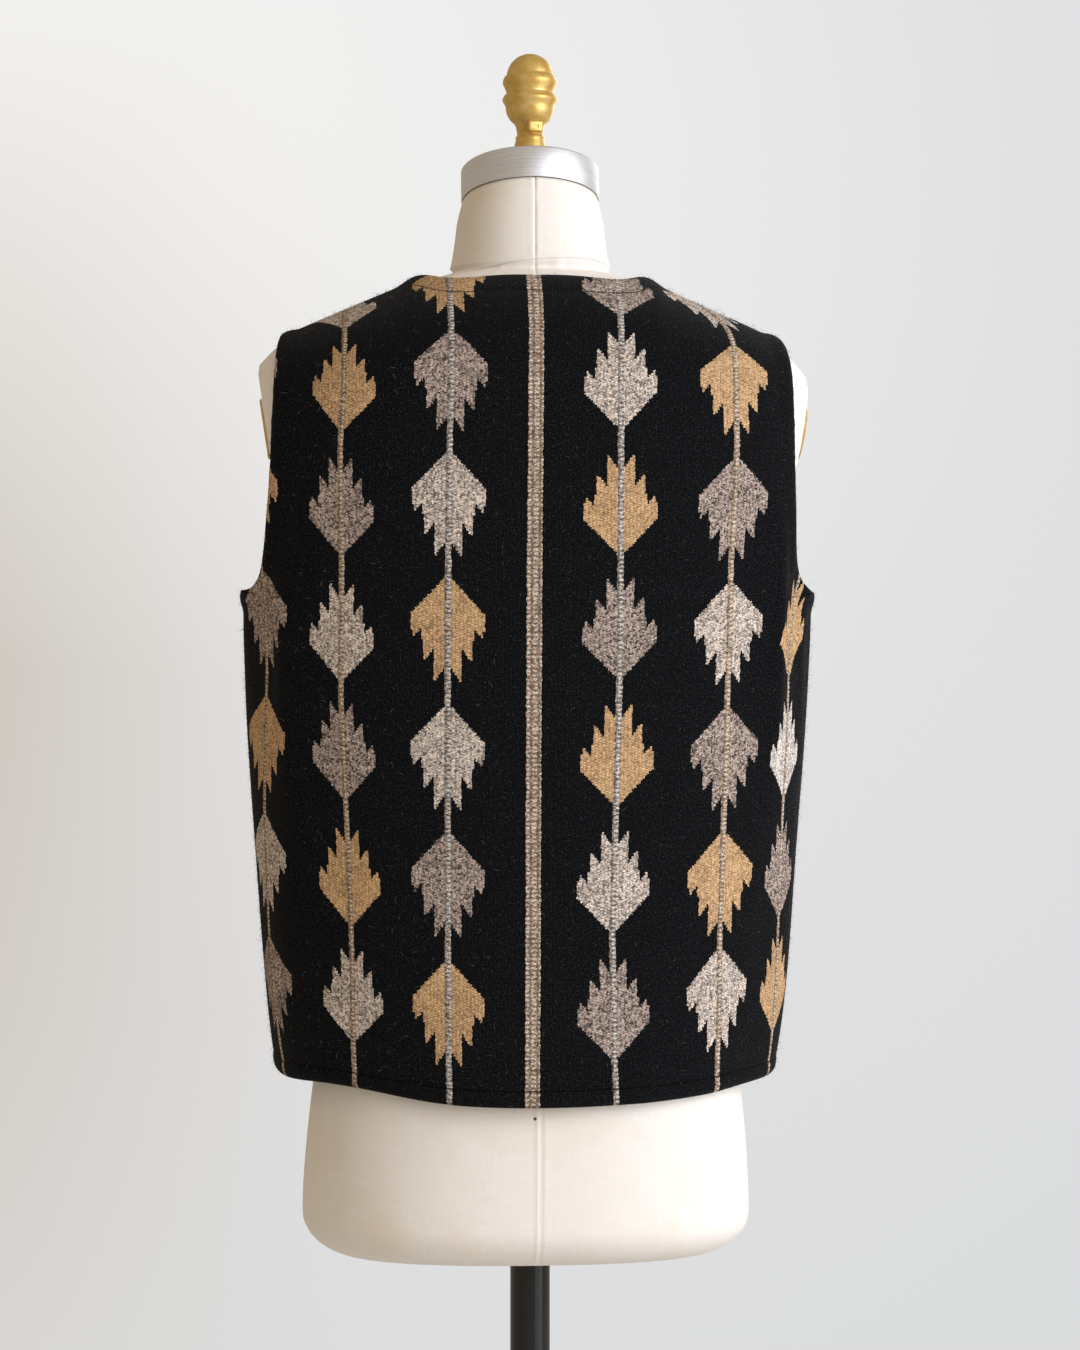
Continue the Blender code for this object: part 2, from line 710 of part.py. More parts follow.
def slanted_foot():
    """The finial's lowest ring, laid on the slant of the cap."""
    radius = FINIAL_PROFILE[0][0]
    lift = PIECE_GAP / math.cos(CAP_TILT)
    ring = []
    for k in range(FINIAL_SIDES):
        angle = 2 * math.pi * k / FINIAL_SIDES
        y = radius * math.sin(angle)
        on_cap = CAP_TOP_CENTRE.z + (y - CAP_TOP_CENTRE.y) * math.tan(CAP_TILT)
        ring.append(Vector((radius * math.cos(angle), y, on_cap + lift)))
    return ring


def build_finial():
    """The turned finial on the cap, with a block for its set screw."""
    rings = turned_rings(FINIAL_PROFILE[1:], FINIAL_SIDES, CAP_TOP_CENTRE.z)
    finial = add_object("form_finial", ring_solid([slanted_foot()] + rings), "gold_paint")
    block = bmesh.new()
    bmesh.ops.create_cube(block, size=1.0)
    bmesh.ops.scale(block, vec=BOSS_SIZE, verts=block.verts[:])
    bmesh.ops.bevel(block, geom=block.edges[:], offset=0.0016, segments=2, profile=0.5,
                    affect="EDGES")
    cutter = add_object("finial_boss_shape", block, "gold_paint")
    cutter.matrix_world = (Matrix.Rotation(BOSS_TURN, 4, "Z")
                           @ Matrix.Translation((0.0, BOSS_REACH, CAP_TOP_CENTRE.z + BOSS_Z)))
    cutter.hide_render = True
    cutter.display_type = "WIRE"
    join = finial.modifiers.new("boss", "BOOLEAN")
    join.operation = "UNION"
    join.solver = "EXACT"
    join.object = cutter
    return finial


def build_pole():
    """The straight pole from the base to the form."""
    bottom = SOCKET_FLOOR + PIECE_GAP
    top = FORM_BOTTOM - PIECE_GAP
    rings = turned_rings(((POLE_RADIUS, bottom), (POLE_RADIUS, top)), POLE_SIDES)
    return add_object("form_pole", ring_solid(rings), "black_steel")


def build_base():
    """The round base, with a hub that the pole stands in."""
    socket = POLE_RADIUS + PIECE_GAP
    profile = (
        (BASE_RADIUS - 0.003, 0.0),
        (BASE_RADIUS, 0.002),
        (BASE_RADIUS, BASE_RIM - 0.002),
        (BASE_RADIUS - 0.003, BASE_RIM),
        (HUB_RADIUS + 0.030, BASE_CROWN),
        (HUB_RADIUS + 0.006, BASE_CROWN + 0.003),
        (HUB_RADIUS, BASE_CROWN + 0.010),
        (HUB_RADIUS, HUB_TOP - 0.003),
        (HUB_RADIUS - 0.003, HUB_TOP),
        (socket, HUB_TOP),
        (socket, SOCKET_FLOOR),
    )
    return add_object("form_base", ring_solid(turned_rings(profile, BASE_SIDES)), "black_steel")


def clear_scene():
    """Removes what the scene holds."""
    for item in list(bpy.data.objects):
        bpy.data.objects.remove(item, do_unlink=True)


def build():
    """Builds every piece."""
    clear_scene()
    both_ways = tuple(-line for line in HALF_LINES[:0:-1]) + HALF_LINES
    cloth_wall("vest_back", 1, both_ways, 1)
    cloth_wall("vest_front_left", -1, FRONT_LINES, 1)
    cloth_wall("vest_front_right", -1, FRONT_LINES, -1)
    build_torso()
    build_arm_plate("form_arm_plate_left", 1)
    build_arm_plate("form_arm_plate_right", -1)
    build_neck_cap()
    build_finial()
    build_pole()
    build_base()


build()
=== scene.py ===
# %% [markdown]
# # A handwoven vest on a dress form
# The vest hangs on a limbless dress form and is seen from the back. The solid model gives every
# piece its place and size. This lesson keeps the plain metal parts of that model, and makes the
# cloth, the linen cover, the neck cap and the finial again with finer shapes and real surfaces.

# %% Load the solid model
import math
from collections import namedtuple

import bmesh
import bpy
import numpy as np
from mathutils import Matrix, Vector


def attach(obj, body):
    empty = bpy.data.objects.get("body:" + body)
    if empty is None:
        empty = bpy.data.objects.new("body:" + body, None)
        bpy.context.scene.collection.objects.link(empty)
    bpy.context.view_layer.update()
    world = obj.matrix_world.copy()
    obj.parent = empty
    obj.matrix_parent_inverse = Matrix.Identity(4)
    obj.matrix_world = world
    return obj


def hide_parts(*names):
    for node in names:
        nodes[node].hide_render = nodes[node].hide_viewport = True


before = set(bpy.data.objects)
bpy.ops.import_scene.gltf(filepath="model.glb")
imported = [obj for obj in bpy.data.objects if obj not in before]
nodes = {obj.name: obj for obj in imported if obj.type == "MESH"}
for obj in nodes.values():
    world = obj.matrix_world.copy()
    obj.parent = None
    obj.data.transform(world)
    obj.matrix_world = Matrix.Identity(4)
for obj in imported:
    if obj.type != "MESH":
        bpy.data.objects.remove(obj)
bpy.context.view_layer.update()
scene = bpy.context.scene
print("solid pieces:", sorted(nodes))

# %% [markdown]
# ## The camera
# The photograph was taken from chest height, a few degrees to one side of the centre back, with
# a long lens. The lens is worked out from how large the form looks, so a part that is 10 cm wide
# covers the same share of the frame. The small shift stands for the crop of the picture.

# %% Camera
CAMERA_SIDE = math.radians(4)
CAMERA_DISTANCE = 2.69
CAMERA_HEIGHT = 1.1245
LONG_SIDE = 1350
# How many pixels of the photograph one metre covers at one metre's distance, and the crop
FOCAL_PIXELS, CROP_X, CROP_Y = 3400, 10, 32
camera_data = bpy.data.cameras.new("camera")
camera_data.sensor_fit = "VERTICAL"
camera_data.sensor_height = 36
camera_data.lens = FOCAL_PIXELS / LONG_SIDE * camera_data.sensor_height
camera_data.shift_x = CROP_X / LONG_SIDE
camera_data.shift_y = CROP_Y / LONG_SIDE
camera = bpy.data.objects.new("camera", camera_data)
camera.location = (CAMERA_DISTANCE * math.sin(CAMERA_SIDE), CAMERA_DISTANCE * math.cos(CAMERA_SIDE),
                   CAMERA_HEIGHT)
camera.rotation_euler = (math.radians(90), 0, math.radians(180) - CAMERA_SIDE)
scene.collection.objects.link(camera)
scene.camera = camera
print("lens", round(camera_data.lens, 1), "mm")

# %% [markdown]
# ## Nodes and colours
# A material is a small graph of nodes. One helper adds any node with its settings and its links,
# so that each material below reads from top to bottom. Colours are written as the hex values that
# a screen shows, and one function turns them into the linear values that a renderer counts with.


# %% Helpers for materials and meshes
def linear(hex_colour):
    """Linear RGBA of a screen colour such as "#c0a080"."""
    values = [int(hex_colour[k:k + 2], 16) / 255 for k in (1, 3, 5)]
    return (*[c / 12.92 if c <= 0.04045 else ((c + 0.055) / 1.055) ** 2.4 for c in values], 1.0)


def first_output(value):
    """A node's first output, or the value itself where it isn't a node."""
    return value.outputs[0] if isinstance(value, bpy.types.Node) else value


def add(tree, kind, settings=None, **links):
    """Adds a node with its settings and its links.

    A link is named after an input, or in0, in1 and so on. It is a value, another node's output,
    or another node, which stands for its first output. The setting "stops" fills a colour ramp,
    and "points" fills a curve.
    """
    node = tree.nodes.new(kind)
    for key, value in (settings or {}).items():
        if key == "stops":
            for spare in value[2:]:
                node.color_ramp.elements.new(spare[0])
            for element, (place, colour) in zip(node.color_ramp.elements, value):
                element.position, element.color = place, linear(colour)
        elif key == "points":
            curve = node.mapping.curves[0]
            for spare in value[2:]:
                curve.points.new(*spare)
            for point, place in zip(curve.points, sorted(value)):
                point.location, point.handle_type = place, "VECTOR"
            node.mapping.update()
        else:
            setattr(node, key, value)
    for key, value in links.items():
        place = int(key[2:]) if key[2:].isdigit() else key.replace("_", " ")
        value = first_output(value)
        if isinstance(value, bpy.types.NodeSocket):
            tree.links.new(value, node.inputs[place])
        else:
            node.inputs[place].default_value = value
    return node


def new_material(name):
    """An empty material: its node tree, its shader and the material."""
    material = bpy.data.materials.new(name)
    material.use_nodes = True
    tree = material.node_tree
    return tree, tree.nodes["Principled BSDF"], material


def finish_shader(tree, shader, linked, constants):
    """Links nodes to some sockets of a shader, and sets others to constants."""
    for socket, value in linked.items():
        tree.links.new(first_output(value), shader.inputs[socket])
    for socket, value in constants.items():
        shader.inputs[socket].default_value = value


def dress(piece, material):
    """Gives a piece one material."""
    piece.data.materials.clear()
    piece.data.materials.append(material)


def select_only(piece):
    """Makes one piece the only selected one, and the active one."""
    bpy.ops.object.select_all(action="DESELECT")
    piece.select_set(True)
    bpy.context.view_layer.objects.active = piece


def new_piece(name, points, faces):
    """A piece from its points and faces, in the scene."""
    mesh = bpy.data.meshes.new(name)
    mesh.from_pydata(points.reshape(-1, 3).tolist(), [], faces)
    piece = bpy.data.objects.new(name, mesh)
    scene.collection.objects.link(piece)
    return piece


print("helpers ready")

# %% [markdown]
# ## The room
# The picture has a pale wall, and soft daylight from the right that leaves the left side in warm
# shade. One large area light is the window. Two weaker ones are a window further off and the light
# that comes back from low down. The world gives the warm shade from all round, and shows the camera
# a pale wall with painted light on it, bright above and in the middle and darker to both sides.

# %% World, window and floor
world = bpy.data.worlds.new("pale room")
scene.world = world
world.use_nodes = True
sky = world.node_tree
shade = sky.nodes["Background"]
shade.inputs["Color"].default_value = linear("#ead9c2")
shade.inputs["Strength"].default_value = 0.56
toward = add(sky, "ShaderNodeTexCoord").outputs["Generated"]
split = add(sky, "ShaderNodeSeparateXYZ", Vector=toward)
drift = add(sky, "ShaderNodeTexNoise", Vector=toward, Scale=3.1, Detail=1.0)
shifted_x = add(sky, "ShaderNodeMath", {"operation": "MULTIPLY_ADD"}, in0=drift.outputs["Fac"],
                in1=0.05, in2=split.outputs["X"])
to_right = add(sky, "ShaderNodeMapRange", {"interpolation_type": "SMOOTHSTEP"},
               Value=shifted_x, From_Min=0.21, From_Max=-0.04)
upwards = add(sky, "ShaderNodeMapRange", Value=split.outputs["Z"], From_Min=-0.19, From_Max=0.21)
# Painted light on the wall that the camera sees: a glow in the middle, lighter above, darker and
# warmer to the sides
left_wall = add(sky, "ShaderNodeValToRGB", {"stops": ((0.0, "#d5d2cc"), (0.25, "#c9c0b4"),
                                                      (0.5, "#bfb4a5"), (1.0, "#f6f5f3"))},
                Fac=upwards)
from_glow = add(sky, "ShaderNodeVectorMath", {"operation": "DISTANCE"}, in0=toward,
                in1=(0.02, -0.98, 0.15))
right_wall = add(sky, "ShaderNodeValToRGB", {"stops": ((0.0, "#f4f3f2"), (0.12, "#ebebeb"),
                                                       (0.24, "#e1e1e2"), (0.4, "#dbdcdd"))},
                 Fac=from_glow.outputs["Value"])
painted_wall_light = add(sky, "ShaderNodeMix", {"data_type": "RGBA"}, in0=to_right,
           in6=left_wall, in7=right_wall)
wall = add(sky, "ShaderNodeBackground", Color=painted_wall_light.outputs[2], Strength=1.0)
seen = add(sky, "ShaderNodeLightPath").outputs["Is Camera Ray"]
both = add(sky, "ShaderNodeMixShader", Fac=seen, in1=shade, in2=wall)
sky.links.new(both.outputs[0], sky.nodes["World Output"].inputs["Surface"])


def window(name, place, target, size, power, colour):
    """A soft rectangular light that faces a point."""
    data = bpy.data.lights.new(name, "AREA")
    data.shape = "RECTANGLE"
    data.size, data.size_y = size
    data.energy = power
    data.color = linear(colour)[:3]
    lamp = bpy.data.objects.new(name, data)
    lamp.location = place
    lamp.rotation_euler = (Vector(target) - Vector(place)).to_track_quat("-Z", "Y").to_euler()
    scene.collection.objects.link(lamp)


window("window", (-2.05, 1.75, 1.85), (0, 0, 1.15), (1.9, 2.2), 77, "#eef4ff")
window("far window", (-1.4, -2.2, 1.9), (0, 0, 1.2), (1.4, 1.8), 20, "#f1f5ff")
window("low window", (-2.0, 1.6, 0.50), (0, 0, 0.60), (1.2, 0.8), 4.5, "#eef4ff")
scene.view_settings.view_transform = "Standard"

bpy.ops.mesh.primitive_circle_add(vertices=96, radius=3.0, fill_type="NGON")
floor = bpy.context.object
floor.name = "floor"
tree, shader, pale_floor = new_material("pale painted floor")
grain = add(tree, "ShaderNodeTexNoise", Vector=add(tree, "ShaderNodeTexCoord").outputs["Object"],
            Scale=4.0, Detail=3.0)
paint = add(tree, "ShaderNodeValToRGB", {"stops": ((0.3, "#dcdad6"), (0.7, "#e4e2df"))},
            Fac=grain.outputs["Fac"])
finish_shader(tree, shader, {"Base Color": paint}, {"Roughness": 0.8})
dress(floor, pale_floor)
print("room ready")

# %% [markdown]
# ## The cut of the vest
# A weaver makes flat cloth, and the vest is cut from it: one back and two fronts. Each cut piece
# is described flat, by s across from the centre line and v up from the hem. The same two numbers
# then say where a point of the cloth lies on the worn vest, and where it lies in the woven
# pattern, so that the leaves bend with the cloth and are never stretched. The cloth follows
# upright sections of the body, and rolls over the shoulder to the ridge where the seam is.

# %% Sizes of the cut and of the worn vest
CUT_HALF = 0.272
WALL = 0.003
SEAM_GAP = 0.0003
HEM_Z, HEM_SIDE_RISE, UNDERARM_Z = 0.824, 0.019, 1.2165
NECK_HALF, SECTION_TOP = 0.090, 1.360
RIDGE_CENTRE_Z, RIDGE_NECK_CURVE, RIDGE_SLOPE = 1.478, 2.136, 0.426
ROLL_AT_NECK, ROLL_TAPER = 0.080, 0.128
LEAN_HEM, LEAN_END_Z = 0.0045, 1.400
# The hem hangs a little higher on the wearer's left: height, place, spread, and how far up
HEM_LIFT, LIFT_AT, LIFT_SPREAD, LIFT_REACH = 0.0070, 0.58, 0.25, 0.15
# The seam stands up at the corner of the neck: height, place and width
EAR_HEIGHT, EAR_X, EAR_WIDTH = 0.0015, 0.0920, 0.0085

# Height, half width, depth to the back, depth to the front, y of the side seam, power
VEST_SECTIONS = np.array((
    (0.820, 0.1912, 0.1370, 0.1440, -0.004, 2.15),
    (0.860, 0.1990, 0.1350, 0.1430, -0.0035, 2.15),
    (0.920, 0.2058, 0.1315, 0.1405, -0.003, 2.15),
    (1.000, 0.2126, 0.1265, 0.1365, -0.002, 2.15),
    (1.100, 0.2204, 0.1210, 0.1300, -0.001, 2.16),
    (1.170, 0.2238, 0.1180, 0.1250, 0.000, 2.18),
    (1.215, 0.2248, 0.1165, 0.1215, 0.000, 2.20),
    (1.260, 0.2246, 0.1150, 0.1180, 0.001, 2.24),
    (1.310, 0.2228, 0.1140, 0.1135, 0.002, 2.30),
    (1.360, 0.2200, 0.1135, 0.1090, 0.003, 2.30),
))
# Armhole edge: height along the cloth, |x| of the back's edge, |x| of a front's edge
ARMHOLE = np.array((
    (1.2165, 0.2248, 0.2248), (1.2190, 0.2213, 0.2207), (1.2240, 0.2170, 0.2135),
    (1.2320, 0.2130, 0.2070), (1.2450, 0.2100, 0.2015), (1.2650, 0.2076, 0.1970),
    (1.3100, 0.2040, 0.1925), (1.3600, 0.2020, 0.1930), (1.4000, 0.2003, 0.1945),
    (1.4530, 0.1950, 0.1950),
))
# Back neck edge: |x|, how far the cloth has rolled over towards the ridge, in degrees
BACK_NECK = np.array((
    (0.000, 46.5), (0.030, 47.0), (0.050, 48.5), (0.065, 53.0), (0.076, 62.0), (0.085, 77.0),
    (0.090, 90.0),
))
FRONT_NECK_Z, FRONT_NECK_BOW = 1.289, 1.12
print("cut of the back is", 2 * CUT_HALF, "m wide")


# %% Smooth tables
def smooth(table, keys):
    """Columns of a table at many keys, on a smooth curve through its rows."""
    at = table[:, 0]
    keys = np.clip(np.atleast_1d(keys).astype(float), at[0], at[-1])
    low = np.clip(np.searchsorted(at, keys, side="right") - 1, 0, len(at) - 2)
    before = np.maximum(np.arange(len(at)) - 1, 0)
    after = np.minimum(np.arange(len(at)) + 1, len(at) - 1)
    slope = (table[after, 1:] - table[before, 1:]) / (at[after] - at[before])[:, None]
    span = (at[low + 1] - at[low])[:, None]
    t = ((keys - at[low])[:, None]) / span
    return ((2 * t ** 3 - 3 * t ** 2 + 1) * table[low, 1:]
            + (t ** 3 - 2 * t ** 2 + t) * slope[low] * span
            + (3 * t ** 2 - 2 * t ** 3) * table[low + 1, 1:]
            + (t ** 3 - t ** 2) * slope[low + 1] * span)


LEVEL_STEP = 0.002
LEVELS = np.linspace(VEST_SECTIONS[0, 0], SECTION_TOP, 271)
SHARES = np.linspace(0.0, 1.0, 241)
SWEEP = np.linspace(0.0, math.pi / 2, 721)


def worn_outlines(side):
    """x and y of the cloth at each level and at each share of the way to the side seam."""
    xs, ys = [], []
    for half, back, front, _, power in smooth(VEST_SECTIONS, LEVELS):
        x = half * np.sin(SWEEP) ** (2 / power)
        y = (back if side > 0 else front) * np.abs(np.cos(SWEEP)) ** (2 / power)
        y[-1] = 0.0
        length = np.concatenate(([0.0], np.cumsum(np.hypot(np.diff(x), np.diff(y)))))
        xs.append(np.interp(SHARES, length / length[-1], x))
        ys.append(np.interp(SHARES, length / length[-1], y))
    return np.array(xs), np.array(ys)


OUTLINES = {side: worn_outlines(side) for side in (1, -1)}
SIDE_Y = smooth(VEST_SECTIONS, LEVELS)[:, 3]


def look_up(table, height, share):
    """A value between the levels and shares of a table."""
    row = np.clip((height - LEVELS[0]) / (LEVELS[1] - LEVELS[0]), 0, len(LEVELS) - 1.0001)
    col = np.minimum(share * (len(SHARES) - 1), len(SHARES) - 1.0001)
    i, j = row.astype(int), col.astype(int)
    a, b = row - i, col - j
    return ((1 - a) * ((1 - b) * table[i, j] + b * table[i, j + 1])
            + a * ((1 - b) * table[i + 1, j] + b * table[i + 1, j + 1]))


print("levels", len(LEVELS))


# %% From the flat cut to the worn vest
def ridge_of(x):
    """Height of the shoulder ridge at |x|, and the radius that the cloth rolls over to it."""
    at_neck = RIDGE_CENTRE_Z - RIDGE_NECK_CURVE * NECK_HALF ** 2
    height = np.where(x < NECK_HALF, RIDGE_CENTRE_Z - RIDGE_NECK_CURVE * x * x,
                      at_neck - RIDGE_SLOPE * (x - NECK_HALF))
    ear = EAR_HEIGHT * np.exp(-((x - EAR_X) / EAR_WIDTH) ** 2)
    return height + ear, ROLL_AT_NECK - ROLL_TAPER * x


def quarter_ellipse(a, b):
    """Length of a quarter of an ellipse."""
    ratio = 3 * ((a - b) / (a + b)) ** 2
    return math.pi * (a + b) * (1 + ratio / (10 + np.sqrt(4 - ratio))) / 4


def share_of(s):
    """Share of the way from the centre line to the side seam."""
    return np.minimum(np.abs(s) / CUT_HALF, 1.0)


def hem_height(side, s):
    """Height of the hem at s."""
    lift = HEM_SIDE_RISE * share_of(s) ** 2
    return HEM_Z + (lift if side > 0 else HEM_SIDE_RISE + 0 * lift)


def worn(side, s, v):
    """Where points of the cut lie on the worn vest: the last axis holds x, y and z."""
    path = hem_height(side, s) + v
    if side > 0:
        lift = HEM_LIFT * np.exp(-((s / CUT_HALF - LIFT_AT) / LIFT_SPREAD) ** 2)
        path = path + lift * np.clip(1 - v / LIFT_REACH, 0, 1) ** 2
    level = np.minimum(path, SECTION_TOP)
    x, y = (look_up(table, level, share_of(s)) for table in OUTLINES[side])
    seam_y = np.interp(level, LEVELS, SIDE_Y)
    ridge, radius = ridge_of(x)
    start = ridge - radius
    turn = np.clip((path - start) / quarter_ellipse(y, radius), 0, 1) * math.pi / 2
    z = np.where(path > start, start + radius * np.sin(turn), path)
    lean = LEAN_HEM * np.maximum(LEAN_END_Z - z, 0) / (LEAN_END_Z - HEM_Z)
    return np.stack((np.copysign(x, s) + lean, seam_y + side * y * np.cos(turn), z), axis=-1)


def out_of_cloth(side, s, v, step=0.0012):
    """Unit vectors straight out of the cloth."""
    left = worn(side, np.maximum(s - step, -CUT_HALF), v)
    right = worn(side, np.minimum(s + step, CUT_HALF), v)
    normal = np.cross(worn(side, s, v + step) - worn(side, s, v - step), right - left) * side
    return normal / np.linalg.norm(normal, axis=-1, keepdims=True)


middle = worn(1, np.array([0.0, 0.2]), np.array([0.3, 0.3]))
print("two points of the back:", np.round(middle, 4).tolist())


# %% Edges of the cut
def across(side, path, x):
    """s of the cloth that stands at |x| at a height along the cloth."""
    xs = OUTLINES[side][0]
    rows = np.round((np.minimum(path, SECTION_TOP) - LEVELS[0]) / LEVEL_STEP)
    rows = np.clip(rows, 0, len(LEVELS) - 1).astype(int)
    return np.array([np.interp(one, xs[row], SHARES) for one, row in zip(x, rows)]) * CUT_HALF


def armhole_half(side, path):
    """Half width of the cut at a height along the cloth."""
    edge = smooth(ARMHOLE, path)[:, 0 if side > 0 else 1]
    return across(side, np.atleast_1d(path), edge)


def shoulder_roll(side, s):
    """|x| at s, the height where the cloth starts to roll over, and the length of the roll."""
    x, y = (np.interp(share_of(s), SHARES, table[-1]) for table in OUTLINES[side])
    ridge, radius = ridge_of(x)
    return x, ridge - radius, quarter_ellipse(y, radius)


def seam_path(side, s):
    """Height along the cloth of the shoulder seam at s."""
    x, start, roll = shoulder_roll(side, s)
    return start + roll - SEAM_GAP / 2


def top_v(side, s):
    """v of the top edge: the shoulder seam, or the back's neck edge between the seams."""
    top = seam_path(side, s)
    if side > 0:
        x, start, roll = shoulder_roll(side, s)
        neck = start + roll * (smooth(BACK_NECK, x)[:, 0].reshape(x.shape) / 90)
        top = np.where(x < NECK_HALF, np.minimum(neck, top), top)
    return top - hem_height(side, s)


NECK_S = {side: float(across(side, np.array([SECTION_TOP]), np.array([NECK_HALF]))[0])
          for side in (1, -1)}
NECK_PATH = {side: float(seam_path(side, np.array(NECK_S[side]))) for side in (1, -1)}


def front_neck_s(path):
    """Where a front's neck edge lies across the cut at a height along the cloth."""
    along = (np.asarray(path) - FRONT_NECK_Z) / (NECK_PATH[-1] - FRONT_NECK_Z)
    return NECK_S[-1] * np.maximum(along, 0.0) ** FRONT_NECK_BOW


def edge_points(side):
    """Points along the armhole edge and along the neck edge, in the flat cut."""
    path = ARMHOLE[0, 0] + (ARMHOLE[-1, 0] - ARMHOLE[0, 0]) * np.linspace(0, 1, 161) ** 1.6
    half = armhole_half(side, path)
    armhole = np.stack((half, path - hem_height(side, half)), axis=1)
    if side > 0:
        s = np.linspace(0, NECK_S[side], 80)
        neck = np.stack((s, top_v(side, s)), axis=1)
    else:
        path = np.linspace(FRONT_NECK_Z, NECK_PATH[side], 90)
        neck = np.stack((front_neck_s(path), path - hem_height(side, 0.0)), axis=1)
    return armhole, neck


EDGES = {side: edge_points(side) for side in (1, -1)}
print("neck half width in the cut:", round(NECK_S[1], 4), "m")
print("vest is", round(float(top_v(1, np.zeros(1))[0]), 3), "m long at the back")


# %% [markdown]
# ## Where the mesh lines run
# The turned hems are the narrowest shapes of the cloth, so mesh lines lie 1.6 mm apart near the
# edges and grow to 4.6 mm in the middle. The columns lean in towards the armhole and the neck,
# so that both edges are clean lines of the mesh and need no trimming.


# %% Mesh lines
# Distances between mesh lines near an edge and in the middle, and the width of the fine band
FINE_LINES, COARSE_LINES, FINE_BAND, COARSENING = 0.0016, 0.0046, 0.017, 0.16


def spread(length, fine_start, fine_end):
    """Shares of a length, close together near the ends that are turned over."""
    places = [0.0]
    while places[-1] < length:
        at = places[-1]
        gap = min(at if fine_start else length, length - at if fine_end else length)
        places.append(at + min(COARSE_LINES,
                               FINE_LINES + COARSENING * max(gap - FINE_BAND, 0.0)))
    return np.array(places) / places[-1]


def cut_grid(side, sign):
    """s and v of every mesh point of a cut piece, row by row from the hem."""
    gap = SEAM_GAP / 2
    centre = gap if side < 0 else 0.0
    lines = spread(CUT_HALF, side < 0, True)
    underarm = UNDERARM_Z - float(hem_height(side, CUT_HALF))
    s_rows, v_rows = [], []
    for share in spread(underarm, True, True):
        s_rows.append(centre + lines * (CUT_HALF - gap - centre))
        v_rows.append(np.full(len(lines), share * underarm))
    reach = ARMHOLE[-1, 0] - UNDERARM_Z
    for share in spread(reach, True, True)[1:]:
        half = armhole_half(side, UNDERARM_Z + reach * share)[0]
        start = centre
        if side < 0:
            start = max(float(front_neck_s(UNDERARM_Z + (NECK_PATH[-1] - UNDERARM_Z) * share)),
                        centre)
        s = start + lines * (half - start)
        s_rows.append(s)
        v_rows.append(underarm + (top_v(side, s) - underarm) * share)
    s, v = np.array(s_rows), np.array(v_rows)
    if side > 0:
        return np.hstack((-s[:, :0:-1], s)), np.hstack((v[:, :0:-1], v))
    return sign * s, v


trial_s, trial_v = cut_grid(1, 1)
print("mesh points of the back:", trial_s.shape)

# %% [markdown]
# ## Folds, hems and seams
# Thick wool hangs nearly straight, so its creases are long, soft and few. Each fold is a trough
# or a ridge with its own place, width and length, and no two are alike. The hem, the armholes and
# the neck are turned over and stitched, which makes a rounded rim with a shallow line inside it.

# %% Table of folds
# Side (1 back, -1 front), s, v, half width, half height, height out
FOLDS = np.array((
    (1, -0.222, 0.375, 0.013, 0.085, -0.0050), (1, -0.196, 0.350, 0.014, 0.110, 0.0035),
    (1, -0.165, 0.330, 0.016, 0.120, -0.0025), (1, 0.226, 0.330, 0.016, 0.100, -0.0035),
    (1, 0.196, 0.300, 0.018, 0.120, 0.0030), (1, -0.236, 0.060, 0.026, 0.110, 0.0035),
    (1, -0.180, 0.020, 0.030, 0.120, -0.0030), (1, 0.120, 0.010, 0.034, 0.100, -0.0022),
    (1, 0.215, 0.040, 0.030, 0.110, 0.0030), (1, 0.020, 0.060, 0.050, 0.160, 0.0025),
    (-1, 0.205, 0.360, 0.017, 0.100, -0.0045), (-1, -0.212, 0.350, 0.016, 0.090, -0.0040),
    (-1, 0.165, 0.200, 0.026, 0.170, 0.0035), (-1, -0.150, 0.180, 0.028, 0.160, 0.0032),
    (-1, 0.100, 0.020, 0.030, 0.110, -0.0025), (-1, -0.205, 0.040, 0.028, 0.110, -0.0028),
))
# Smaller creases that only the finer mesh can show
CREASES = np.array((
    (1, -0.2065, 0.356, 0.0050, 0.075, -0.0022), (1, -0.1965, 0.345, 0.0045, 0.085, 0.0013),
    (1, -0.1860, 0.335, 0.0050, 0.070, -0.0016), (1, 0.2110, 0.325, 0.0050, 0.070, -0.0015),
    (1, -0.246, 0.330, 0.007, 0.050, -0.0016), (1, -0.207, 0.410, 0.008, 0.040, 0.0014),
    (1, 0.243, 0.352, 0.008, 0.040, -0.0015), (1, 0.168, 0.400, 0.012, 0.060, 0.0012),
    (1, -0.095, 0.520, 0.016, 0.030, -0.0010), (1, 0.100, 0.545, 0.018, 0.026, 0.0011),
    (1, 0.060, 0.012, 0.015, 0.050, 0.0010), (1, -0.085, 0.015, 0.018, 0.060, 0.0013),
    (1, -0.130, 0.100, 0.012, 0.080, -0.0010), (1, 0.150, 0.150, 0.014, 0.090, -0.0009),
    (-1, 0.240, 0.345, 0.008, 0.050, -0.0016), (-1, -0.244, 0.350, 0.009, 0.045, -0.0014),
    (-1, 0.060, 0.120, 0.014, 0.110, 0.0012), (-1, -0.070, 0.090, 0.016, 0.100, 0.0010),
    (-1, 0.130, 0.430, 0.014, 0.070, -0.0012), (-1, -0.125, 0.420, 0.016, 0.080, 0.0012),
))
print("folds:", len(FOLDS), "creases:", len(CREASES))


# %% How far the cloth stands out
# Turned edges: width, height, how far in the stitches lie, and how deep they pull
HEM_RIM = (0.014, 0.0012, 0.0112, 0.0007)
NECK_RIM = (0.023, 0.0014, 0.0220, 0.0009)
FRONT_RIM = (0.014, 0.0012, 0.0112, 0.0005)
ARMHOLE_WIDTH, ARMHOLE_HEIGHT, ARMHOLE_STITCH, ARMHOLE_PULL = 0.017, 0.0020, 0.0135, 0.0002
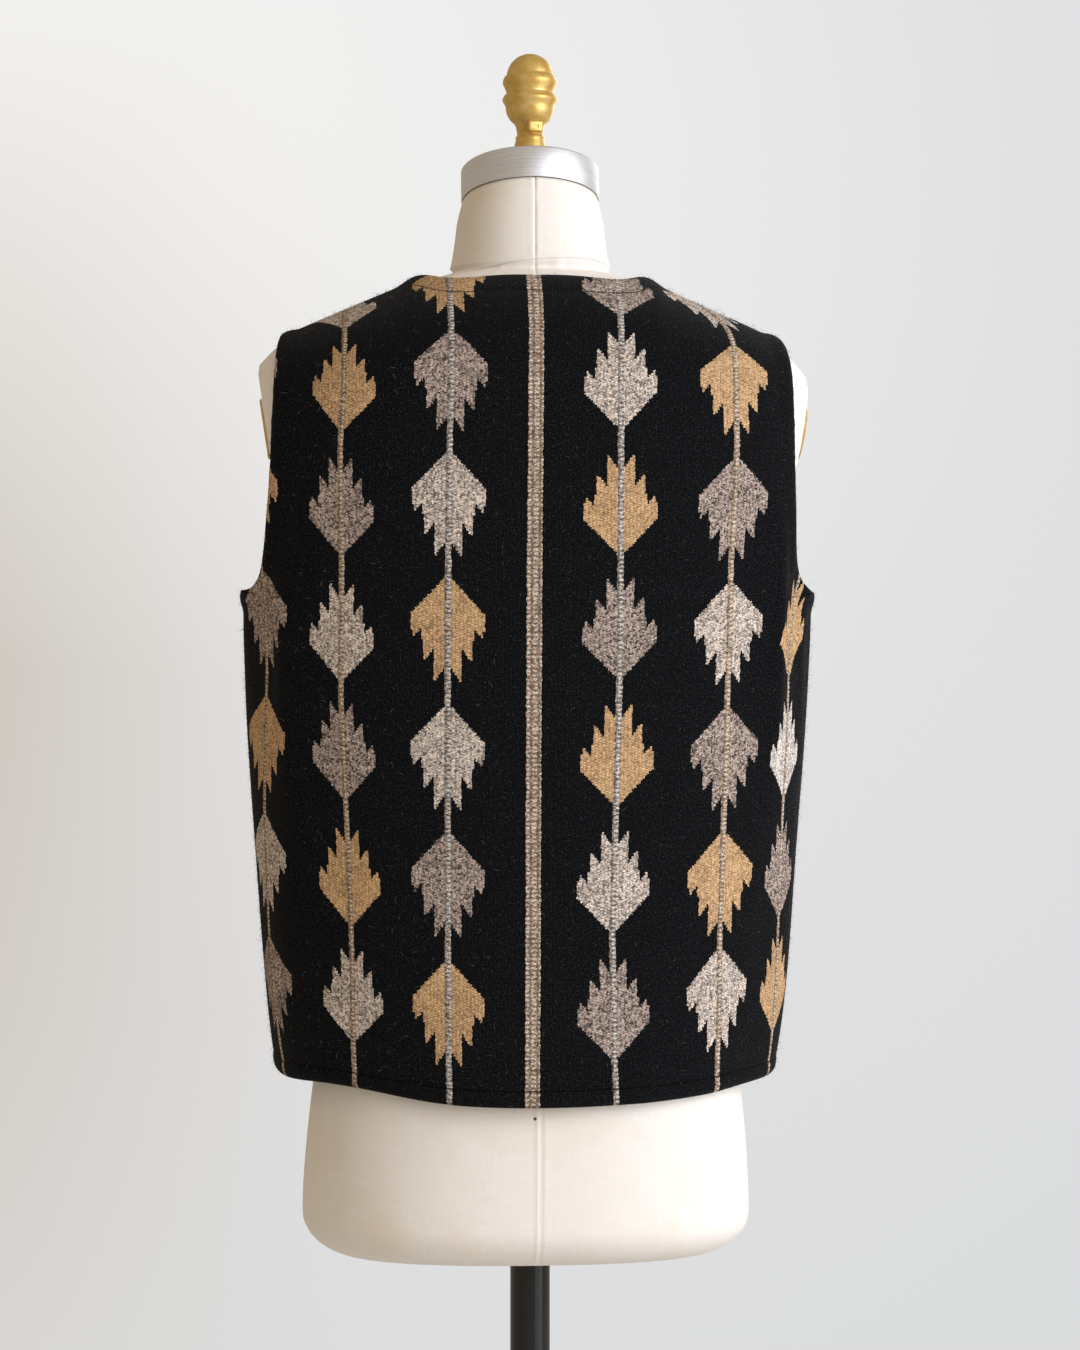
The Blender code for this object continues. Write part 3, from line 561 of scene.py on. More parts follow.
# The armhole's rim gets thicker towards the underarm: by how much, from which s, over what width
UNDERARM_EXTRA, UNDERARM_FROM, UNDERARM_SPAN = 0.0006, 0.225, 0.040
STITCH_WIDTH = 0.0014
# Valley of a sewn seam: width, depth, and how much of a rim it takes away
VALLEY_WIDTH, VALLEY_DEPTH, VALLEY_SHARE = 0.0024, 0.0010, 0.7


def folds_out(side, s, v):
    """Height of all folds and creases at points of the cut."""
    out = np.zeros(s.shape)
    for fold_side, at_s, at_v, half_width, half_height, height in np.vstack((FOLDS, CREASES)):
        if fold_side == side:
            out += height * np.exp(-((s - at_s) / half_width) ** 2 - ((v - at_v) / half_height) ** 2)
    return out


def distance_to(edge, s, v):
    """Distance in the flat cut from points to an edge."""
    gap = np.full(s.shape, 1.0)
    for edge_s, edge_v in edge:
        gap = np.minimum(gap, np.hypot(np.abs(s) - edge_s, v - edge_v))
    return gap


def turned(distance, width, height, stitch_at, stitch_depth):
    """Rounded rim of a turned edge, with the shallow line of its stitches."""
    t = np.clip(distance / width, 0, 1)
    line = stitch_depth * np.exp(-((distance - stitch_at) / STITCH_WIDTH) ** 2)
    return height * np.sin(math.pi * t ** 0.6) - line


def edges_out(side, s, v):
    """Turned hem, armhole and neck, and the valleys of the sewn seams."""
    armhole, neck = (distance_to(edge, s, v) for edge in EDGES[side])
    underarm = np.clip((np.abs(s) - UNDERARM_FROM) / UNDERARM_SPAN, 0, 1)
    out = np.maximum(turned(v, *HEM_RIM), turned(neck, *NECK_RIM))
    out = np.maximum(out, turned(armhole, ARMHOLE_WIDTH, ARMHOLE_HEIGHT + UNDERARM_EXTRA * underarm,
                                 ARMHOLE_STITCH, ARMHOLE_PULL))
    if side < 0:
        out = np.maximum(out, turned(np.abs(s), *FRONT_RIM))
    to_side = CUT_HALF - np.abs(s)
    to_shoulder = np.where(np.abs(s) > NECK_S[side], seam_path(side, s) - hem_height(side, s) - v, 1)
    valley = np.exp(-(np.minimum(to_side, to_shoulder) / VALLEY_WIDTH) ** 2)
    return out * (1 - VALLEY_SHARE * valley) - VALLEY_DEPTH * valley


print("largest rim:", round(float(edges_out(1, trial_s, trial_v).max()) * 1000, 2), "mm")

# %% [markdown]
# ## The leaf chart
# Seven rows of leaves climb the cloth in columns, three on each side of the stripe. One column
# points up and the next points down, and every leaf has one of four wools. A weaver keeps such
# an order as a small chart, counts it out on the warps and beats it in by feel, so columns wander
# and leaves differ by some millimetres, and some stems are browner than others. The chart of the
# back lists that. Each corner of the mesh stores how far it is from the stem of its leaf, how far
# up the leaf, the leaf's wool and how brown the stem is. That works because leaves never touch:
# the borders between them are always black. Each point also stores its distance to the neck edge,
# where a line of stitches runs.

# %% Chart of the leaves
LEAF_HEIGHT, LEAF_HALF = 74.7, 28.0
# Wool (tan, light grey, dark grey, nearly white): its colour, and how strongly it is flecked
WOOLS = {"t": ("#c4a077", 0.38), "l": ("#b9aca1", 0.72), "d": ("#94857c", 0.90),
         "w": ("#cac1b9", 0.55)}
# Column: points up, half width in mm, height in mm, wools from the hem up, v of the low ends in mm,
# the stem's way up the cloth as pairs of v and s in mm, and how brown the stem is
Column = namedtuple("Column", "up half height wools lows way brown")
BACK_COLUMNS = [Column(*values) for values in (
    (False, 28.0, 74.0, "dltdtld", (35, 130, 222, 320, 416, 512, 607),
     ((0, 222), (60, 227), (116, 231), (212, 229), (314, 220), (388, 221), (440, 230), (640, 240)),
     0.9),
    (True, 25.5, 72.0, "ltdldtl", (38, 130, 226, 316, 412, 506, 601),
     ((0, 145), (110, 143), (200, 145), (300, 148), (400, 147), (500, 150), (600, 148)), 0.8),
    (False, 27.5, 78.0, "tdltldt", (29, 126, 222, 319, 414, 509, 608), ((0, 66.3), (640, 66.3)), 0.0),
    (True, 28.0, 74.7, "dltdtld", (34, 130, 226, 322, 416, 512, 606),
     ((0, -64), (34, -61), (130, -58), (226, -60), (320, -61.5), (600, -62)), 0.05),
    (False, 30.0, 77.5, "ltdldtl", (32, 121, 217, 313, 408, 504, 604),
     ((0, -155), (30, -152), (120, -148.2), (300, -148.7), (410, -150), (500, -155), (584, -154),
      (606, -150), (628, -140), (650, -130)), 0.75),
    (True, 20.0, 73.0, "tdwtldt", (36, 126, 220, 314, 410, 505, 600),
     ((0, -223), (20, -221), (120, -215), (214, -211), (304, -211), (332, -212), (386, -225),
      (430, -238), (640, -247)), 0.6),
)]
FIRST_ROW, ROW_PITCH = 35, 95.4
ROWS = tuple(FIRST_ROW + ROW_PITCH * k for k in range(7))
FRONT_COLUMNS = [
    Column(up, 28.0, 75.0, wools, ROWS, ((0, at), (640, at)), 0.4) for up, wools, at in (
        (False, "ldtldtl", 66), (True, "dtldtdl", 150), (False, "tldtdlt", 228),
        (True, "tldtldt", -66), (False, "dltdtld", -150), (True, "ltdwtdl", -228))]
STRIPE_AT = {1: 2.3, -1: 0.0}
# What the mesh stores on the stripe: a place below all leaves, and a wool whose alpha is zero
STRIPE_PLACE, STRIPE_WOOL = -100.0, (0.2, 0.2, 0.2, 0.0)


def leaf_of(side, s, v):
    """Column and row of the leaf nearest to a point of the cut, in mm: no column at the stripe."""
    choices = BACK_COLUMNS if side > 0 else FRONT_COLUMNS
    ways = [abs(s - float(np.interp(v, *np.array(column.way).T))) for column in choices]
    nearest = int(np.argmin(ways))
    if abs(s - STRIPE_AT[side]) < ways[nearest]:
        return None, 0
    column = choices[nearest]
    row = int(np.argmin([abs(v - low - column.height / 2) for low in column.lows]))
    return column, row


print("wools of the column beside the stripe:", leaf_of(1, 66, 80)[0].wools)


# %% Build a cut piece
# How far a turned rim bulges past its edge, and how near to a seam a border point counts as on it
RIM_BULGE, ON_SEAM = 0.0014, 0.001
RIM_STEPS = (0.2, 0.5, 0.8)


def border_of(rows, cols):
    """Row and column of the mesh points on the border of a grid, once round."""
    return ([(0, j) for j in range(cols)] + [(i, cols - 1) for i in range(1, rows)]
            + [(rows - 1, j) for j in range(cols - 2, -1, -1)]
            + [(i, 0) for i in range(rows - 2, 0, -1)])


def woven_piece(name, side, sign):
    """One cut piece as a thin closed wall with rounded rims, and its flat area."""
    s, v = cut_grid(side, sign)
    rows, cols = s.shape
    normal = out_of_cloth(side, s, v)
    plain = worn(side, s, v) + normal * folds_out(side, s, v)[..., None]
    outer = plain + normal * edges_out(side, s, v)[..., None]
    inner = plain - normal * WALL
    border = border_of(rows, cols)
    i, j = np.array(border).T
    inward_i, inward_j = np.clip(i, 1, rows - 2), np.clip(j, 1, cols - 2)
    away = outer[i, j] - outer[inward_i, inward_j]
    away -= normal[i, j] * np.sum(away * normal[i, j], axis=1)[:, None]
    away /= np.linalg.norm(away, axis=1)[:, None]
    under_armhole = v[i, j] < UNDERARM_Z - HEM_Z - HEM_SIDE_RISE
    at_side = (np.abs(s[i, j]) > CUT_HALF - ON_SEAM) & under_armhole
    at_shoulder = (i == rows - 1) & (np.abs(s[i, j]) > NECK_S[side] - ON_SEAM)
    bulge = np.where(at_side | at_shoulder, 0.0, RIM_BULGE)[:, None]
    rims = [outer[i, j] * (1 - t) + inner[i, j] * t + away * bulge * math.sin(math.pi * t)
            for t in RIM_STEPS]
    points = np.vstack((outer.reshape(-1, 3), inner.reshape(-1, 3), *rims))
    cut = np.stack((s, v), axis=-1).reshape(-1, 2)
    on_border = np.stack((s[i, j], v[i, j]), axis=1)
    cut = np.vstack((cut, cut, *[on_border] * len(rims)))
    grid = np.arange(rows * cols).reshape(rows, cols)
    quads = np.stack((grid[:-1, :-1], grid[:-1, 1:], grid[1:, 1:], grid[1:, :-1]), axis=-1)
    faces = [quads.reshape(-1, 4), quads.reshape(-1, 4)[:, ::-1] + rows * cols]
    count = len(border)
    chains = [grid[i, j]]
    chains += [2 * rows * cols + k * count + np.arange(count) for k in range(len(rims))]
    chains.append(grid[i, j] + rows * cols)
    for upper, lower in zip(chains, chains[1:]):
        faces.append(np.stack((upper, lower, np.roll(lower, -1), np.roll(upper, -1)), axis=-1))
    piece = new_piece(name, points, np.vstack(faces).tolist())
    paint_cut(piece.data, side, cut)
    face_outwards(piece)
    ds = np.hypot(np.diff(s, axis=1), np.diff(v, axis=1))[:-1]
    return piece, float(np.sum(ds * np.diff(v, axis=0)[:, :-1]))


def paint_cut(mesh, side, cut):
    """Stores the flat cut, the place within each leaf, its wools and how far the neck is."""
    corner = np.zeros(len(mesh.loops), int)
    mesh.loops.foreach_get("vertex_index", corner)
    mesh.uv_layers.new(name="cut").data.foreach_set("uv", cut[corner].ravel())
    mesh.uv_layers.new(name="leaf")
    mesh.attributes.new("wool", "FLOAT_COLOR", "CORNER")
    mesh.attributes.new("brown_stem", "FLOAT", "CORNER")
    places, colours, browns = [], [], []
    for face in mesh.polygons:
        own = cut[list(face.vertices)] * 1000
        column, row = leaf_of(side, *own.mean(axis=0))
        if column is None:
            places.extend((s - STRIPE_AT[side], STRIPE_PLACE) for s in own[:, 0])
            colours.extend([STRIPE_WOOL] * face.loop_total)
            browns.extend([1.0] * face.loop_total)
            continue
        stem = np.interp(own[:, 1], *np.array(column.way).T)
        climbed = (own[:, 1] - column.lows[row]) * LEAF_HEIGHT / column.height
        places.extend(zip((own[:, 0] - stem) * LEAF_HALF / column.half,
                          climbed if column.up else LEAF_HEIGHT - climbed))
        hex_colour, flecked = WOOLS[column.wools[row]]
        colours.extend([(*linear(hex_colour)[:3], flecked)] * face.loop_total)
        browns.extend([column.brown] * face.loop_total)
    mesh.uv_layers["leaf"].data.foreach_set("uv", np.array(places).ravel())
    mesh.attributes["wool"].data.foreach_set("color", np.array(colours).ravel())
    mesh.attributes["brown_stem"].data.foreach_set("value", browns)
    mesh.attributes.new("to_neck", "FLOAT", "POINT")
    mesh.attributes["to_neck"].data.foreach_set(
        "value", distance_to(EDGES[side][1], cut[:, 0], cut[:, 1]) * 1000)


def face_outwards(piece):
    """Turns all faces outwards and shades them smooth."""
    select_only(piece)
    bpy.ops.object.mode_set(mode="EDIT")
    bpy.ops.mesh.select_all(action="SELECT")
    bpy.ops.mesh.normals_make_consistent(inside=False)
    bpy.ops.object.mode_set(mode="OBJECT")
    bpy.ops.object.shade_smooth()


print("ready to cut the cloth")

# %% The back and the two fronts
vest = {}
for name, side, sign in (("back", 1, 1), ("front_left", -1, 1), ("front_right", -1, -1)):
    piece, area = woven_piece("woven_" + name, side, sign)
    vest[name] = (piece, area)
    print(piece.name, len(piece.data.polygons), "faces,", round(area, 4), "m2 of cloth")

# %% [markdown]
# ## Handwoven wool
# The cloth is a tapestry weave: thick wool weft is beaten down over a cotton warp until it hides
# it, and each colour turns back at the edge of its own area. So the pattern has small steps, one
# row of weft high and one warp wide. The wool is spun from mixed fleece, which gives flecks, and
# it is brushed, which gives a soft sheen. The graph takes the place within the leaf in
# millimetres, rounds it to warps and rows, and compares it with the leaf's outline.

# %% Wool: the pattern's coordinates
WARP_STEP, WEFT_STEP = 1.6, 1.1
# How far a leaf's outline wavers, in mm
WAVER = Vector((2.6, 2.4, 0.0))
tree, wool_shader, woven_wool = new_material("handwoven wool")
flat_mm = add(tree, "ShaderNodeVectorMath", {"operation": "SCALE"}, Scale=1000.0,
              Vector=add(tree, "ShaderNodeUVMap", {"uv_map": "cut"}))
leaf_place = add(tree, "ShaderNodeUVMap", {"uv_map": "leaf"})
waver = add(tree, "ShaderNodeTexNoise", Vector=flat_mm, Scale=0.30, Detail=2.0)
moved = add(tree, "ShaderNodeVectorMath", {"operation": "MULTIPLY_ADD"}, in0=waver.outputs["Color"],
            in1=WAVER, in2=leaf_place)
centred = add(tree, "ShaderNodeVectorMath", {"operation": "SUBTRACT"}, in0=moved,
              in1=WAVER / 2)
stepped = add(tree, "ShaderNodeVectorMath", {"operation": "SNAP"}, in0=centred,
              in1=(WARP_STEP, WEFT_STEP, 1.0))
at = add(tree, "ShaderNodeSeparateXYZ", Vector=stepped)
from_stem = add(tree, "ShaderNodeMath", {"operation": "ABSOLUTE"}, in0=at.outputs["X"])
up_leaf = at.outputs["Y"]
print("pattern coordinates in mm")

# %% Wool: the outline of a leaf
# Upper outline of a leaf that points up: mm from the stem, mm up. Three teeth on each side.
LEAF_TEETH = ((0, 66), (3.6, 66), (9.6, 74.5), (11.0, 51), (18.2, 60), (19.8, 35.5), (26.9, 44),
              (27.9, 24), (28.6, 0), (43, 0))
CURVE_WIDTH, CURVE_HEIGHT = LEAF_TEETH[-1][0], 100.0
# Lower outline: how steeply it climbs away from the stem, and where it starts
BASE_SLOPE, BASE_START = 1.02, -3.0
# Half widths of a stem and of the stripe
STEM_HALF_MM, STRIPE_HALF_MM = 3.1, 6.4
share_out = add(tree, "ShaderNodeMath", {"operation": "DIVIDE"}, in0=from_stem, in1=CURVE_WIDTH)
teeth = add(tree, "ShaderNodeFloatCurve",
            {"points": [(x / CURVE_WIDTH, y / CURVE_HEIGHT) for x, y in LEAF_TEETH]},
            Value=share_out)
tall = add(tree, "ShaderNodeMath", {"operation": "MULTIPLY"}, in0=teeth, in1=CURVE_HEIGHT)
under_teeth = add(tree, "ShaderNodeMath", {"operation": "LESS_THAN"}, in0=up_leaf,
                  in1=tall)
lowest = add(tree, "ShaderNodeMath", {"operation": "MULTIPLY_ADD"}, in0=from_stem,
             in1=BASE_SLOPE, in2=BASE_START)
over_base = add(tree, "ShaderNodeMath", {"operation": "GREATER_THAN"}, in0=up_leaf,
                in1=lowest)
leaf = add(tree, "ShaderNodeMath", {"operation": "MULTIPLY"}, in0=under_teeth,
           in1=over_base)
stem = add(tree, "ShaderNodeMath", {"operation": "LESS_THAN"}, in0=from_stem,
           in1=STEM_HALF_MM)
wool = add(tree, "ShaderNodeAttribute", {"attribute_name": "wool"})
is_stripe = add(tree, "ShaderNodeMath", {"operation": "LESS_THAN"}, in0=wool.outputs["Alpha"],
                in1=0.05)
in_stripe = add(tree, "ShaderNodeMath", {"operation": "LESS_THAN"}, in0=from_stem,
                in1=STRIPE_HALF_MM)
stripe = add(tree, "ShaderNodeMath", {"operation": "MULTIPLY"}, in0=is_stripe,
             in1=in_stripe)
print("leaf", LEAF_HEIGHT, "mm tall,", 2 * LEAF_HALF, "mm wide")

# %% [markdown]
# ## Threads and flecks
# The real weft rows are 1.1 mm apart and the warps 1.6 mm, hardly more than one pixel of the
# render, so the rows are drawn 2 mm apart and the warps 2.8 mm apart. Every second warp lifts the
# other rows, as in plain weave. Flecks are single fibres of lighter and darker fleece. A real one
# is a tenth of a millimetre thick, so they are drawn as grains of 1.35 mm.

# %% Wool: threads and flecks
NECK_STITCH_MM, HEM_STITCH_MM = 1000 * NECK_RIM[2], 1000 * HEM_RIM[2]
ROW_MM, WARP_MM = 2.0, 2.8
fine = add(tree, "ShaderNodeSeparateXYZ", Vector=flat_mm)
warps = add(tree, "ShaderNodeMath", {"operation": "DIVIDE"}, in0=fine.outputs["X"], in1=WARP_MM)
rows_up = add(tree, "ShaderNodeMath", {"operation": "DIVIDE"}, in0=fine.outputs["Y"], in1=ROW_MM)
warp_number = add(tree, "ShaderNodeMath", {"operation": "FLOOR"}, in0=warps)
offset_rows = add(tree, "ShaderNodeMath", {"operation": "MULTIPLY_ADD"},
                  in0=warp_number, in1=0.5, in2=rows_up)
row_turn = add(tree, "ShaderNodeMath", {"operation": "PINGPONG"}, in0=offset_rows,
               in1=0.5)
warp_turn = add(tree, "ShaderNodeMath", {"operation": "PINGPONG"}, in0=warps, in1=0.5)
over_row = add(tree, "ShaderNodeMath", {"operation": "SINE"},
               in0=add(tree, "ShaderNodeMath", {"operation": "MULTIPLY"}, in0=row_turn,
                       in1=math.pi))
over_warp = add(tree, "ShaderNodeMath", {"operation": "SINE"},
                in0=add(tree, "ShaderNodeMath", {"operation": "MULTIPLY_ADD"},
                        in0=warp_turn, in1=2.2, in2=0.45))
pebble = add(tree, "ShaderNodeMath", {"operation": "MULTIPLY"}, in0=over_row,
             in1=over_warp)
GRAIN_MM = 1.35
grains = add(tree, "ShaderNodeTexVoronoi", Vector=flat_mm, Scale=1 / GRAIN_MM)
fleck = add(tree, "ShaderNodeSeparateXYZ", Vector=grains.outputs["Color"])
patch = add(tree, "ShaderNodeTexNoise", Vector=flat_mm, Scale=0.045, Detail=2.0)
fuzz = add(tree, "ShaderNodeTexNoise", Vector=flat_mm, Scale=0.62, Detail=3.0, Roughness=0.9)
print("rows", ROW_MM, "mm, warps", WARP_MM, "mm")

# %% Wool: colours
# Stem and stripe are plied from a light and a dark strand, which show in turn as beads
BEAD_MM, BEAD_ACROSS_MM = 3.4, 5.4
beads = add(tree, "ShaderNodeMath", {"operation": "DIVIDE"}, in0=fine.outputs["Y"], in1=BEAD_MM)
swing = add(tree, "ShaderNodeMath", {"operation": "PINGPONG"}, in0=beads, in1=0.5)
at_leaf = add(tree, "ShaderNodeSeparateXYZ", Vector=leaf_place)
across_beads = add(tree, "ShaderNodeMath", {"operation": "MULTIPLY_ADD"}, in0=at_leaf.outputs["X"],
                   in1=1 / BEAD_ACROSS_MM, in2=0.5)
side_swing = add(tree, "ShaderNodeMath", {"operation": "PINGPONG"}, in0=across_beads,
                 in1=0.5)
bead_light = add(tree, "ShaderNodeMath", {"operation": "MULTIPLY"}, in0=swing,
                 in1=side_swing)
bead_spread = add(tree, "ShaderNodeMapRange", Value=bead_light, From_Min=0.03,
                  From_Max=0.16)
mixed = add(tree, "ShaderNodeMix", in0=0.56, in2=bead_spread,
            in3=fleck.outputs["X"])
grey_stem = add(tree, "ShaderNodeValToRGB", {"stops": ((0.1, "#5f554f"), (0.45, "#aaa098"),
                                                      (0.8, "#ece6e0"))}, Fac=mixed)
brown_stem = add(tree, "ShaderNodeValToRGB", {"stops": ((0.1, "#705c48"), (0.45, "#b1967a"),
                                                       (0.8, "#e6d2b8"))}, Fac=mixed)
how_brown = add(tree, "ShaderNodeAttribute", {"attribute_name": "brown_stem"})
stem_wool = add(tree, "ShaderNodeMix", {"data_type": "RGBA"}, in0=how_brown.outputs["Fac"],
                in6=grey_stem, in7=brown_stem)
stripe_wool = add(tree, "ShaderNodeValToRGB", {"stops": ((0.1, "#6d5d50"), (0.45, "#b39c87"),
                                                        (0.8, "#ecdfd0"))}, Fac=mixed)
black_wool = add(tree, "ShaderNodeValToRGB", {"stops": ((0.38, "#020203"), (0.50, "#0a0b0d"),
                                                       (0.60, "#1b1d22"), (0.72, "#42454e"))},
                 Fac=fuzz.outputs["Fac"])
lights_and_darks = add(tree, "ShaderNodeMapRange", Value=fleck.outputs["X"], To_Min=-0.95,
                       To_Max=1.45)
heather = add(tree, "ShaderNodeMath", {"operation": "MULTIPLY_ADD"},
              in0=lights_and_darks, in1=wool.outputs["Alpha"], in2=1.0)
leaf_wool = add(tree, "ShaderNodeVectorMath", {"operation": "SCALE"}, in0=wool.outputs["Color"],
                Scale=heather)
colour = black_wool
for area, layer in ((leaf, leaf_wool), (stem, stem_wool.outputs[2]), (stripe, stripe_wool)):
    colour = add(tree, "ShaderNodeMix", {"data_type": "RGBA"}, in0=area, in6=colour,
                 in7=layer).outputs[2]
# The turned hem and neck are held by a line of black stitches, which shows on the leaves
to_neck = add(tree, "ShaderNodeAttribute", {"attribute_name": "to_neck"})
rows_away = []
for where, line_mm in ((to_neck.outputs["Fac"], NECK_STITCH_MM),
                       (fine.outputs["Y"], HEM_STITCH_MM)):
    off_line = add(tree, "ShaderNodeMath", {"operation": "SUBTRACT"}, in0=where, in1=line_mm)
    rows_away.append(add(tree, "ShaderNodeMath", {"operation": "ABSOLUTE"},
                         in0=off_line))
line_away = add(tree, "ShaderNodeMath", {"operation": "MINIMUM"}, in0=rows_away[0],
                in1=rows_away[1])
thread = add(tree, "ShaderNodeMapRange", Value=line_away, From_Min=0.35, From_Max=0.9,
             To_Min=0.12, To_Max=1.0)
# Painted shade: the colour is darkened in the hollows between the weft rows and the warps, where the
# weave falls in shade
depth = add(tree, "ShaderNodeMapRange", Value=pebble, To_Min=0.70, To_Max=1.10)
# The colour is a little lighter and darker in large soft random patches
patch_tone = add(tree, "ShaderNodeMapRange", Value=patch.outputs["Fac"], From_Min=0.3, From_Max=0.7,
          To_Min=0.90, To_Max=1.08)
# The painted shade of the weave, times those random patches
shading = add(tree, "ShaderNodeMath", {"operation": "MULTIPLY"}, in0=depth,
              in1=patch_tone)
stitched = add(tree, "ShaderNodeMath", {"operation": "MULTIPLY"}, in0=shading,
               in1=thread)
final = add(tree, "ShaderNodeVectorMath", {"operation": "SCALE"}, in0=colour,
            Scale=stitched)
print("wools:", WOOLS)

# %% Wool: surface
relief = add(tree, "ShaderNodeMath", {"operation": "MULTIPLY_ADD"}, in0=fuzz.outputs["Fac"],
             in1=1.6, in2=pebble)
bump = add(tree, "ShaderNodeBump", Strength=0.6, Distance=0.0010, Height=relief)
finish_shader(tree, wool_shader, {"Base Color": final, "Normal": bump},
              {"Roughness": 0.92, "Specular IOR Level": 0.10, "Sheen Weight": 0.055,
               "Sheen Roughness": 0.38, "Sheen Tint": linear("#d5dae2")})
print("wool surface ready")

# %% [markdown]
# ## Loose fibres
# Brushed wool has fine hairs that stand off the cloth. They give it a soft outline against the
# light and a grey bloom over the black. Each hair here is a thin tube with three sides and a
# point, which leaves the cloth, bends over and ends in the air. A real hair is thinner than a
# pixel by far, so these are drawn at 0.16 mm and there are fewer of them.

# %% Loose fibres
FIBRE_RADIUS, ELBOW_SHARE = 0.00008, 0.8
# How far a root may lie from the middle of its face, and how deep it starts in the cloth
ROOT_REACH, ROOT_DEPTH = 0.002, 0.0004
SHORTEST, LONGER_BY = 0.0022, 0.0055
# How steeply hairs rise, how much that varies, and how far round they bend, in radians
LOW_RISE, HIGH_RISE, RISE_POWER, BEND = 0.05, 0.7, 1.5, 1.3


def loose_fibres(name, piece, count, seed):
    """Short bent hairs on the outer faces of a cloth piece, as one mesh."""
    chance = np.random.default_rng(seed)
    faces = len(piece.data.polygons)
    middle, normal, area = np.zeros(3 * faces), np.zeros(3 * faces), np.zeros(faces)
    piece.data.polygons.foreach_get("center", middle)
    piece.data.polygons.foreach_get("normal", normal)
    piece.data.polygons.foreach_get("area", area)
    middle, normal = middle.reshape(-1, 3), normal.reshape(-1, 3)
    area[np.sum(middle[:, :2] * normal[:, :2], axis=1) < 0] = 0
    chosen = chance.choice(faces, count, p=area / area.sum())
    out, root = normal[chosen], middle[chosen]
    along = np.cross(out, (0.0, 0.0, 1.0))
    along /= np.linalg.norm(along, axis=1)[:, None]
    upward = np.cross(out, along)
    root = root + (along * chance.uniform(-ROOT_REACH, ROOT_REACH, (count, 1))
                   + upward * chance.uniform(-ROOT_REACH, ROOT_REACH, (count, 1)))
    way = chance.uniform(0, 2 * math.pi, (count, 1))
    length = SHORTEST + LONGER_BY * chance.random((count, 1)) ** 2
    lay = along * np.cos(way) + upward * np.sin(way)
    rise = chance.uniform(LOW_RISE, HIGH_RISE, (count, 1)) ** RISE_POWER * length
    bend = way + chance.uniform(-BEND, BEND, (count, 1))
    end = along * np.cos(bend) + upward * np.sin(bend)
    start = root - out * ROOT_DEPTH
    elbow = start + lay * length * 0.5 + out * (rise * 0.8 + ROOT_DEPTH)
    tip = elbow + end * length * 0.5 + out * rise * 0.5
    sideways = np.cross(out, lay)
    rings = [centre + radius * (out * math.cos(turn) + sideways * math.sin(turn))
             for centre, radius in ((start, FIBRE_RADIUS), (elbow, FIBRE_RADIUS * ELBOW_SHARE))
             for turn in (k * math.tau / 3 for k in range(3))]
    points = np.stack((*rings, tip), axis=1)
    corners = points.shape[1]
    base = np.arange(count)[:, None] * corners
    walls = [np.array((k, (k + 1) % 3, 3 + (k + 1) % 3, 3 + k)) for k in range(3)]
    quads = np.concatenate([base + wall for wall in walls])
    ends = np.concatenate([base + np.array((3 + k, 3 + (k + 1) % 3, 6)) for k in range(3)]
                          + [base + np.array((2, 1, 0))])
    hairs = new_piece(name, points, quads.tolist() + ends.tolist())
    tone = hairs.data.attributes.new("tone", "FLOAT", "POINT")
    tone.data.foreach_set("value", np.repeat(chance.random(count), corners))
    face_outwards(hairs)
    return hairs


fibres = {name: loose_fibres("fibres_" + name, vest[name][0], count, seed) for name, count, seed in
          (("back", 19000, 3), ("front_left", 8000, 5), ("front_right", 8000, 7))}
tree, fibre_shader, fibre_wool = new_material("loose brushed wool fibres")
tone = add(tree, "ShaderNodeAttribute", {"attribute_name": "tone"})
fibre_colour = add(tree, "ShaderNodeValToRGB", {"stops": ((0.0, "#0c0c0e"), (0.5, "#1e1f22"),
                                                         (0.85, "#434142"), (1.0, "#8d857e"))},
                   Fac=tone.outputs["Fac"])
finish_shader(tree, fibre_shader, {"Base Color": fibre_colour},
              {"Roughness": 0.85, "Specular IOR Level": 0.2, "Sheen Weight": 0.1})
print("hairs:", {name: len(hairs.data.polygons) // 7 for name, hairs in fibres.items()})

# %% Put the vest in place
for name, (piece, area) in vest.items():
    dress(piece, woven_wool)
    dress(fibres[name], fibre_wool)
    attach(piece, "root")
    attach(fibres[name], "root")
    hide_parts("vest_" + name)

# %% [markdown]
# ## The linen-covered form
# A dress form is a stiff shell with a thin layer of padding and a tight linen cover, so its
# surface is smooth and takes pins. The solid model's form is a little coarse, so the same
# sections are used again with more points. Seams run up the centre back, the centre front and the
# sides, where the cover was sewn, and round the foot of the neck. A tight seam is a fine groove
# between two small swellings, and the cloth below the neck seam is eased in with tiny tucks.

# %% Sizes of the form
FORM_BOTTOM = 0.695
# Height, half width, depth to the back, depth to the front, y of the middle, power
FORM_SECTIONS = np.array((
    (0.690, 0.1740, 0.1160, 0.1090, 0.000, 2.4), (0.740, 0.1757, 0.1190, 0.1110, 0.000, 2.4),
    (0.815, 0.1700, 0.1185, 0.1100, 0.000, 2.4), (0.900, 0.1590, 0.1090, 0.1040, 0.000, 2.4),
    (1.000, 0.1500, 0.0970, 0.1000, 0.000, 2.4), (1.080, 0.1520, 0.0950, 0.1040, 0.000, 2.4),
    (1.170, 0.1620, 0.1010, 0.1120, 0.000, 2.4), (1.215, 0.1680, 0.1035, 0.1130, 0.000, 2.4),
    (1.260, 0.1790, 0.1060, 0.1110, 0.001, 2.35), (1.285, 0.1915, 0.1072, 0.1085, 0.0015, 2.3),
    (1.310, 0.2110, 0.1074, 0.1060, 0.002, 2.1), (1.340, 0.2215, 0.1077, 0.1045, 0.0026, 2.0),
    (1.360, 0.2250, 0.1078, 0.1035, 0.003, 1.95),
))
UNDER_CLOTH, TIP_START, TIP_DROP = 0.0044, 0.185, 13.0
ROUND_HEIGHT, ROUND_INSET = 0.032, 0.044
ARM_CUT_X = {1: 0.2142, -1: 0.2205}
ARM_CUT_Z, ARM_CUT_LEAN, ARM_CUT_FLOOR = 1.385, 0.15, 1.21
